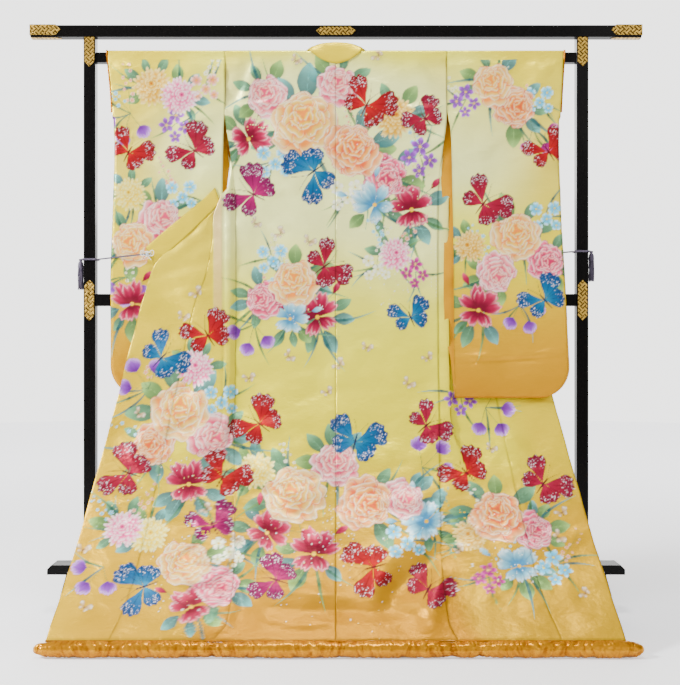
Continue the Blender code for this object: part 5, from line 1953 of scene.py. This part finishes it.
def roll_relief(run, angle):
    """Gathers, broad and slanting folds and the long seam, along the roll and round it."""
    round_x = np.cos(angle) * 1.3
    round_z = np.sin(angle) * 1.3
    fine = noise(run / 0.75 + 3.1 * round_x, round_z + 5.0, ROLL_SEED)
    broad = noise(run / 2.6 + 1.2 * round_x, 0.8 * round_z + 9.0, ROLL_SEED + 1)
    slant = noise(run / 1.3 + 1.9 * angle, 0.6 * np.cos(angle) + 3.0, ROLL_SEED + 2)
    twist = 0.9 * np.sin(2.0 * angle + run / 3.0)
    ripple = noise(run / 0.44 + twist, round_z * 0.7 + 2.0, ROLL_SEED + 3)
    relief = 0.05 * fine + 0.035 * broad + 0.05 * slant + 0.13 * ripple
    gather = np.zeros_like(relief)
    for place, reach, depth in ROLL_GATHERS:
        near = np.exp(-np.abs(run - place) / reach)
        pleats = np.sin(11.0 * angle + 2.0 * np.sin(3.0 * angle + place))
        waist = 0.7 * depth * np.exp(-((run - place) / 0.5) ** 2)
        gather += near * (depth * 0.35 * pleats - waist)
    tip = smooth_step(72.0, 77.5, np.abs(run - 0.6))
    gather += tip * 0.06 * np.sin(7.0 * angle + 1.4 * run)
    off_seam = np.mod(angle - 1.25 + math.pi, 2 * math.pi) - math.pi
    seam = -0.10 * np.exp(-(off_seam / 0.10) ** 2)
    return relief + gather + seam * (1.0 - tip)


def build_roll():
    x = np.concatenate([np.linspace(-77.15, -74.0, 26)[:-1], np.arange(-74.0, 76.0, 0.28),
                        np.linspace(76.0, 78.45, 26)])
    radius = along(ROLL_ROWS, 1, np.clip(x, -77.1, 78.4))
    relief = roll_relief(x[:, None], turns(ROLL_SIDES)[None, :])
    radii = np.maximum(0.2, radius[:, None] + relief)
    points, faces = swept(points_of(x, ROLL_Y, ROLL_Z), radii, ROLL_SIDES, FLOOR_LIFT)
    # painted shade in the roll's folds and on its lower side towards the floor, and painted
    # highlights on its ridges; green and blue fall faster, so the shade turns orange
    valley = np.clip(-relief / 0.16, -1.0, 1.0)
    under = smooth_step(0.2, -0.9, points[:-2, 2].reshape(relief.shape) / ROLL_Z - 1.0)
    painted_valley_shade = 0.40 * smooth_step(0.0, 1.0, valley)
    painted_ridge_highlight = 0.22 * smooth_step(0.0, 1.0, -valley)
    painted_shading = 1.0 - painted_valley_shade + painted_ridge_highlight - 0.35 * under
    painted_shading = np.concatenate([painted_shading.reshape(-1), END_SHADE])
    tone = linear(ROLL_GOLD)[None, :] * np.stack([painted_shading, painted_shading ** 1.45, painted_shading ** 2.0], -1)
    drawn = join([(points, faces, tone), hem_turn()])
    add_part("padded_roll", drawn, SATIN_ROLL, "hem_roll")


def cuff_path(side):
    """Centre line of the rolled cuff edge, from its foot in front over the rod to the rear."""
    levels = np.concatenate([np.arange(CUFF_Z, 162.0, 0.22), [162.0]])
    y, z = over_rod(np.arange(2.1, 0.3, -0.15))
    front = sleeve_depth(side, levels, False)
    rear = sleeve_depth(side, levels, True)
    depth = np.concatenate([front, y, -y[::-1], rear[::-1]])
    height = np.concatenate([levels, z, z[::-1], levels[::-1]])
    return points_of(side * (sleeve_outer(side, height) + GAP + CUFF_RADIUS), depth, height)


CUFF_RIPPLE = 0.030
CUFF_SIDES = 14


def build_cuffs():
    base = CUFF_RADIUS - 0.02
    for side, word in WORDS.items():
        path = cuff_path(side)
        steps = run_along(path)
        wave = 2 * math.pi * steps / 0.95 + 1.5 * np.sin(steps)
        ripple = CUFF_RIPPLE * np.sin(wave)[:, None]
        radii = base + ripple * (0.6 + 0.4 * np.sin(turns(CUFF_SIDES)))[None, :]
        points, faces = swept(path, radii, CUFF_SIDES)
        # painted shade: darker where the ripple makes the cuff thinner
        painted_shading = (1.0 - 6.0 * (CUFF_RIPPLE - radii + base)).reshape(-1)
        tone = linear(CUFF_ORANGE)[None, :] * np.concatenate([painted_shading, END_SHADE])[:, None]
        piece = add_part("rolled_cuff_" + word, (points, faces, tone), SATIN_ROLL,
                         "cuff_" + word)


def twisted(path, radius, pitch, strands=3, closed=False, sides=8):
    """A laid cord: round strands wound about a path."""
    path = np.asarray(path, float)
    ahead = directions(path, closed)
    side = np.cross(ahead, (0.0, 0.0, 1.0))
    side /= np.linalg.norm(side, axis=1, keepdims=True)
    over = np.cross(side, ahead)
    steps = run_along(np.concatenate([path, path[:1]]))
    total = steps[-1] if closed else steps[-2]
    angle = 2 * math.pi * round(total / pitch) * steps[:len(path)] / total
    slim = 0.52 * radius
    parts = []
    for k in range(strands):
        phase = angle + 2 * math.pi * k / strands
        offset = np.cos(phase)[:, None] * side + np.sin(phase)[:, None] * over
        tone = linear(CORD_TONE) * (1.0 + 0.12 * math.sin(2.1 * k))
        parts.append(tube(path + (radius - slim) * offset, slim, sides, tone, closed))
    return join(parts)


def evenly(points, step, closed=False):
    """Points at even steps along a broken line."""
    points = np.asarray(points, float)
    if closed:
        points = np.concatenate([points, points[:1]])
    steps = run_along(points)
    count = max(2, int(round(steps[-1] / step)))
    places = np.linspace(0.0, steps[-1], count + 1)
    line = np.stack([np.interp(places, steps, points[:, k]) for k in range(3)], 1)
    return line[:-1] if closed else line


def band_path(side):
    """The square loop round a post, with rounded corners."""
    centre = (POST_INNER + POST_OUTER) / 2
    reach = BAND_RADIUS + GAP + 0.02
    points = []
    for k in range(4):
        corner = math.pi / 2 * (k + 0.5)
        hub_x = centre + math.copysign(POST_HALF_DEPTH, math.cos(corner))
        hub_y = math.copysign(POST_HALF_DEPTH, math.sin(corner))
        for share in np.linspace(0.0, 1.0, 7):
            angle = math.pi / 2 * (k + share)
            x = hub_x + reach * math.cos(angle)
            points.append((side * x, hub_y + reach * math.sin(angle), BAND_Z[side]))
    return evenly(points, 0.14, closed=True)


KNOT_PROFILE = (
    # height over the base, radius
    (-0.9, 0.80), (-0.35, 0.86), (0.2, 0.80), (0.75, 0.74), (1.05, 0.52),
    (1.3, 0.40), (1.45, 0.42), (1.7, 0.56), (1.9, 0.50), (2.0, 0.20),
)
TASSEL_LOCKS = 70
KNOT_SIDES = 40
GOLDEN_ANGLE = 2.39996


def tassel(side):
    """A knot with a wrapped neck over locks of twisted strands."""
    rng = np.random.default_rng(TASSEL_SEED + side)
    x = side * (POST_OUTER + GAP + 2 * BAND_RADIUS + GAP + 0.58)
    base = BAND_Z[side] + 0.25 - 2.0
    heights = np.linspace(-0.9, 2.0, 60)
    keys, radii = np.array(KNOT_PROFILE).T
    widths = monotone(keys, radii, heights)
    wraps = 0.035 * np.abs(np.sin(heights * 11.0)) * (heights > 0.95)
    ridge = 0.03 * np.sin(20 * turns(KNOT_SIDES))[None, :] * (heights < 1.0)[:, None]
    parts = [tube(points_of(x, 0.0, base + heights), (widths + wraps)[:, None] + ridge,
                  KNOT_SIDES, linear(CORD_TONE))]
    for k in range(TASSEL_LOCKS):
        reach = 0.80 * math.sqrt((k + 0.5) / TASSEL_LOCKS)
        angle = GOLDEN_ANGLE * k
        spread = rng.uniform(0.92, 1.14)
        length = rng.uniform(6.2, 7.0)
        depth = np.linspace(0.0, 1.0, 9)
        wave = 0.07 * np.sin(depth * rng.uniform(4, 8) + rng.uniform(0, 6))
        sway = 1.0 + (spread - 1.0) * depth ** 1.3
        lock_x = x + reach * math.cos(angle) * sway + wave
        lock_y = reach * math.sin(angle) * sway + 0.6 * wave
        line = points_of(lock_x, lock_y, base - 0.3 - length * depth)
        glint = rng.uniform(0.7, 1.35)
        parts.append(tube(line, 0.085 - 0.02 * depth, 6, linear(CORD_TONE) * glint))
    return join(parts)


def ball(centre, radius, tone, rings=8, sides=12):
    x, y, z = centre
    angle = np.linspace(-math.pi / 2 + 0.05, math.pi / 2 - 0.05, rings)
    path = points_of(x, y, z + radius * np.sin(angle))
    return tube(path, radius * np.cos(angle), sides, linear(tone))


BOW_LOOPS = (
    # size, bead radius, tone, beads
    (1.0, 0.15, PEARL, 14),
    (0.62, 0.13, GEM, 9),
)


def bow(side):
    """A bow of pearls and cut stones on a small metal clip."""
    x, y, z = CLIP_PLACE[side]
    x *= side
    turn = turns(16)
    flat = 0.27 / np.maximum(np.abs(np.sin(turn)), 0.27 / 0.6)
    plate = points_of(x, y, z + np.array([-0.85, 0.85]))
    parts = [tube(plate, np.broadcast_to(flat, (2, 16)), 16, linear(CLIP_PLATE))]
    front = y - 0.55
    for hand in (-1, 1):
        for size, radius, tone, beads in BOW_LOOPS:
            for k in range(beads):
                t = math.pi * (k + 0.5) / beads
                out = 1.95 * size * math.sin(t)
                rise = 0.85 * size * math.sin(2 * t) * 0.95
                centre = (x + hand * out, front - 0.12 * math.sin(t), z + rise + 0.18 * out)
                parts.append(ball(centre, radius, tone))
        for k in range(6):
            t = (k + 0.6) / 6
            centre = (x + hand * 1.15 * t, front, z - 0.25 - 1.5 * t)
            parts.append(ball(centre, 0.14, PEARL if k % 2 else GEM))
    parts.append(ball((x, front - 0.12, z + 0.05), 0.36, GEM, 10, 16))
    return join(parts)


def build_ties():
    for side, word in WORDS.items():
        loop = twisted(band_path(side), BAND_RADIUS, 1.1, closed=True)
        add_part("tie_band_" + word, loop, CORD_SILK, "band_" + word)
        x, y, z = CLIP_PLACE[side]
        start = np.array([side * (x + 0.7), y, z])
        end = np.array([side * RUN_END[side][0], RUN_END[side][1], BAND_Z[side]])
        line = evenly([end, start], 0.12)
        piece = add_part("tie_cord_" + word, twisted(line, 0.24, 0.95), CORD_SILK,
                         "cord_" + word)
        add_part("tie_tassel_" + word, tassel(side), CORD_SILK, "tassel_" + word)
        add_part("clip_bow_" + word, bow(side), CLIP_METAL, "clip_" + word)


# ---------------------------------------------------------------- stand
LACQUERED = ("top_beam", "shoulder_rod", "middle_rail", "base_board", "post_left", "post_right",
             "foot_left", "foot_right")
BRASS_NODES = (
    "cap_left", "cap_right", "strip_left", "strip_right", "plate_centre_front", "plate_centre_back",
    "plate_top_left_front", "plate_top_left_back", "plate_top_right_front", "plate_top_right_back",
    "plate_mid_left_front", "plate_mid_left_back", "plate_mid_right_front", "plate_mid_right_back",
)
NAILS = (
    # x, z, mirrored to the other side when its x isn't 0
    (4.6, 173.25), (0.0, 172.4), (0.0, 174.1),
    (73.35, 163.9), (72.4, 170.6), (74.3, 170.6),
    (73.35, 88.3), (73.35, 97.9), (72.4, 93.1), (74.3, 93.1),
    (83.4, 173.5), (90.2, 174.4), (90.2, 172.7), (86.5, 174.4), (86.5, 172.7),
)


def lacquer():
    """Black gloss lacquer with a little dust and fine rubbing."""
    made, tree, shader = nodes_of("black_lacquer")
    place = place_nodes(tree)
    cloud = noise_node(tree, place, 7.0, 5.0, 0.6)
    dust = noise_node(tree, place, 420.0, 2.0, 0.7)
    share = ranged(tree, dust, -1.2, 1.5)
    fill(tree, shader, {
        "Base Color": mixed(tree, share, (0.0018, 0.0016, 0.0016), (0.008, 0.007, 0.0065)),
        "Roughness": ranged(tree, cloud, 0.16, 0.34),
        "Specular IOR Level": 0.04,
        "Coat Weight": 0.06,
        "Coat Roughness": 0.05,
        "Normal": bumped(tree, cloud, 0.05, 0.002).outputs["Normal"],
    })
    return made


WICKER_CELL = 0.0190
WICKER_LINE = 0.0062


def wicker(tree, place):
    """Fine lines turned by quarter from cell to cell, in metres."""
    def math_of(operation, *values):
        return math_node(tree, operation, *values)

    split = split_node(tree, place)
    x = math_of("ADD", split["X"], split["Y"])
    z = math_of("ADD", split["Z"], split["Y"])
    rising = math_of("ADD", x, z)
    falling = math_of("SUBTRACT", x, z)
    up_cell = math_of("FLOOR", math_of("DIVIDE", rising, WICKER_CELL))
    down_cell = math_of("FLOOR", math_of("DIVIDE", falling, WICKER_CELL))
    odd = math_of("FLOORED_MODULO", math_of("ADD", up_cell, down_cell), 2.0)
    up_line = math_of("PINGPONG", math_of("DIVIDE", rising, WICKER_LINE), 1.0)
    down_line = math_of("PINGPONG", math_of("DIVIDE", falling, WICKER_LINE), 1.0)
    keep = math_of("MULTIPLY", up_line, odd)
    other = math_of("MULTIPLY", down_line, math_of("SUBTRACT", 1.0, odd))
    return ranged(tree, math_of("ADD", keep, other), 0.0, 1.0, 0.30, 0.60)


def engraved_brass():
    """Gilt brass engraved with wickerwork."""
    made, tree, shader = nodes_of("engraved_brass")
    place = place_nodes(tree)
    lines = wicker(tree, place)
    patina = noise_node(tree, place, 60.0, 4.0, 0.6)
    gilt = mixed(tree, lines, (0.085, 0.042, 0.008), (0.66, 0.42, 0.080))
    fill(tree, shader, {
        "Base Color": scaled(tree, gilt, ranged(tree, patina, 0.7, 1.25)),
        "Metallic": 1.0,
        "Roughness": ranged(tree, patina, 0.26, 0.48),
        "Normal": bumped(tree, lines, 0.8, 0.0006).outputs["Normal"],
    })
    return made


def soft_metal(name, metallic, roughness, tone=None):
    """A worn metal in a tone, or in the mesh's own tint."""
    made, tree, shader = nodes_of(name)
    cloud = noise_node(tree, place_nodes(tree), 160.0, 3.0, 0.6)
    if tone is None:
        base = tinted(tree, cloud, 0.9, 1.06)
    else:
        base = mixed(tree, cloud, tuple(0.7 * part for part in tone), tone)
    fill(tree, shader, {
        "Base Color": base,
        "Metallic": metallic,
        "Roughness": ranged(tree, cloud, roughness - 0.05, roughness + 0.1),
        "Normal": bumped(tree, cloud, 0.05, 0.0005).outputs["Normal"],
    })
    return made


def silk_cord():
    """Silk yarn in the mesh's own tint."""
    made, tree, shader = nodes_of("silk_cord")
    fibre = noise_node(tree, place_nodes(tree, (2600.0, 2600.0, 700.0)), 1.0, 2.0)
    fill(tree, shader, {
        "Base Color": tinted(tree, fibre, 0.75, 1.3),
        "Roughness": 0.5,
        "Sheen Weight": 0.2,
        "Specular IOR Level": 0.3,
        "Normal": bumped(tree, fibre, 0.35, 0.0003).outputs["Normal"],
    })
    return made


def build_stand_looks():
    for names, made in ((LACQUERED, lacquer()), (BRASS_NODES, engraved_brass())):
        for name in names:
            for slot in bpy.data.objects[name].material_slots:
                slot.link = "OBJECT"
                slot.material = made
    face = BEAM_SIDE / 2 + GAP + 0.1
    parts = []
    for x, z in NAILS:
        for side in ((-1, 1) if x else (1,)):
            for depth in (-1, 1):
                parts.append(ball((side * x, depth * face, z), 0.17, NAIL_BRASS, 7, 12))
    add_part("nail_heads", join(parts), soft_metal("nail_brass", 1.0, 0.28, (0.62, 0.38, 0.10)),
             None)


BASTING = (
    # side, x, low z, high z
    (1, 28.2, 97.0, 124.0),
    (1, 29.6, 94.0, 121.0),
)


def build_basting():
    """Short white tacking stitches beside the back's right seam."""
    parts = []
    for side, x, low, high in BASTING:
        across = np.array([side * x])
        for z in np.arange(low, high, 1.1):
            ends = []
            for height in (z, z + 0.25, z + 0.5):
                y = drape(height) + body_relief(across, np.array([height]))[0]
                ends.append((side * x, float(y - WALL / 2 - 0.03), height))
            parts.append(tube(ends, 0.035, 6, linear(PEARL)))
    add_part("basting", join(parts), CORD_SILK, None)


SATIN_ROLL = satin("satin_roll", 0.21, 0.2, 0.2, 0.5)
CORD_SILK = silk_cord()
CLIP_METAL = soft_metal("pearl_clip", 0.15, 0.18)
build_roll()
build_basting()
build_cuffs()
build_ties()
build_stand_looks()


# ---------------------------------------------------------------- light, floor and camera
HORIZON_LIGHT = (3.0, 2.98, 2.94)
NEAR_LIGHT = (0.72, 0.71, 0.70)
HIGH_LIGHT = (0.41, 0.41, 0.42)


LIT_FROM_BEHIND = (-0.2, 0.5)


def build_world():
    """A pale studio: brightest round the horizon, softer overhead."""
    world = bpy.data.worlds.new("pale")
    bpy.context.scene.world = world
    world.use_nodes = True
    tree = world.node_tree
    split = split_node(tree, add_node(tree, "TexCoord", {}).outputs["Generated"])
    rise = math_node(tree, "ABSOLUTE", split["Z"])
    overhead = ranged(tree, rise, 0.0, 1.0, 0.30, 0.44, "SMOOTHSTEP")
    behind = ranged(tree, split["Y"], 0.0, 1.0, *LIT_FROM_BEHIND, "SMOOTHSTEP")
    level = mixed(tree, behind, NEAR_LIGHT, HORIZON_LIGHT)
    sky = mixed(tree, overhead, level, HIGH_LIGHT)
    fill(tree, tree.nodes["Background"], {"Strength": 1.0, "Color": sky})


FLOOR_RADIUS = 900.0
FLOOR_CORNERS = 96
LIGHTS = (
    # name, place in metres, size, watts
    ("key", (-3.6, -1.45, 2.9), 0.8, 410.0),
    ("fill", (2.6, -3.6, 2.4), 2.4, 24.0),
    ("top", (0.0, -0.9, 4.2), 1.2, 95.0),
    ("rear", (0.5, 3.6, 2.6), 2.4, 70.0),
)
LIGHTS_AIM = (0.0, 0.0, 0.85)


def build_floor():
    """A pale floor with an even glow of its own, and a painted glow that grows away from the stand,
    most of all behind it.
    """
    ring = []
    for k in range(FLOOR_CORNERS):
        angle = 2 * math.pi * k / FLOOR_CORNERS
        ring.append((FLOOR_RADIUS * math.cos(angle), FLOOR_RADIUS * math.sin(angle), 0.0))
    corners = np.arange(FLOOR_CORNERS)[None, :]
    floor = new_mesh("floor", np.array(ring), corners, smooth=False)
    made, tree, shader = nodes_of("floor")
    place = place_nodes(tree)
    reach = add_node(tree, "VectorMath", {0: place}, operation="LENGTH").outputs["Value"]
    far = ranged(tree, reach, 0.0, 1.35, 1.1, 5.5, "SMOOTHSTEP")
    aim = add_node(tree, "VectorMath", {0: place}, operation="NORMALIZE").outputs["Vector"]
    depth = split_node(tree, aim)["Y"]
    behind = ranged(tree, depth, -0.48, 1.0, *LIT_FROM_BEHIND, "SMOOTHSTEP")
    # painted glow: the floor's emission grows with distance and behind the stand
    glow = math_node(tree, "MULTIPLY", far, behind)
    fill(tree, shader, {
        "Base Color": (0.86, 0.86, 0.87, 1.0),
        "Roughness": 0.6,
        "Specular IOR Level": 0.2,
        "Emission Color": (1.0, 1.0, 1.02, 1.0),
        "Emission Strength": math_node(tree, "ADD", glow, 0.65),
    })
    floor.data.materials.append(made)


def build_lights():
    for name, place, size, watts in LIGHTS:
        light = bpy.data.lights.new(name, "AREA")
        light.shape = "DISK"
        light.size = size
        light.energy = watts
        lamp = bpy.data.objects.new(name, light)
        lamp.location = place
        aim = Vector(LIGHTS_AIM) - Vector(place)
        lamp.rotation_euler = aim.to_track_quat("-Z", "Y").to_euler()
        bpy.context.scene.collection.objects.link(lamp)


FRAME_WIDTH = 685
LENS = 60.07
SHIFT = (4.0, 2.5)
STAND_FACE = 1.75
CAMERA_DISTANCE = 340.0
CAMERA_HEIGHT = 79.8


def build_camera():
    camera = bpy.data.objects.new("camera", bpy.data.cameras.new("camera"))
    camera.data.lens = LENS
    camera.data.shift_x = SHIFT[0] / FRAME_WIDTH
    camera.data.shift_y = SHIFT[1] / FRAME_WIDTH
    depth = ROD_PLANE_Y - STAND_FACE - CAMERA_DISTANCE
    camera.location = (0.0, depth * CM, CAMERA_HEIGHT * CM)
    camera.rotation_euler = (math.pi / 2, 0.0, 0.0)
    bpy.context.scene.collection.objects.link(camera)
    bpy.context.scene.camera = camera


build_world()
build_floor()
build_lights()
build_camera()
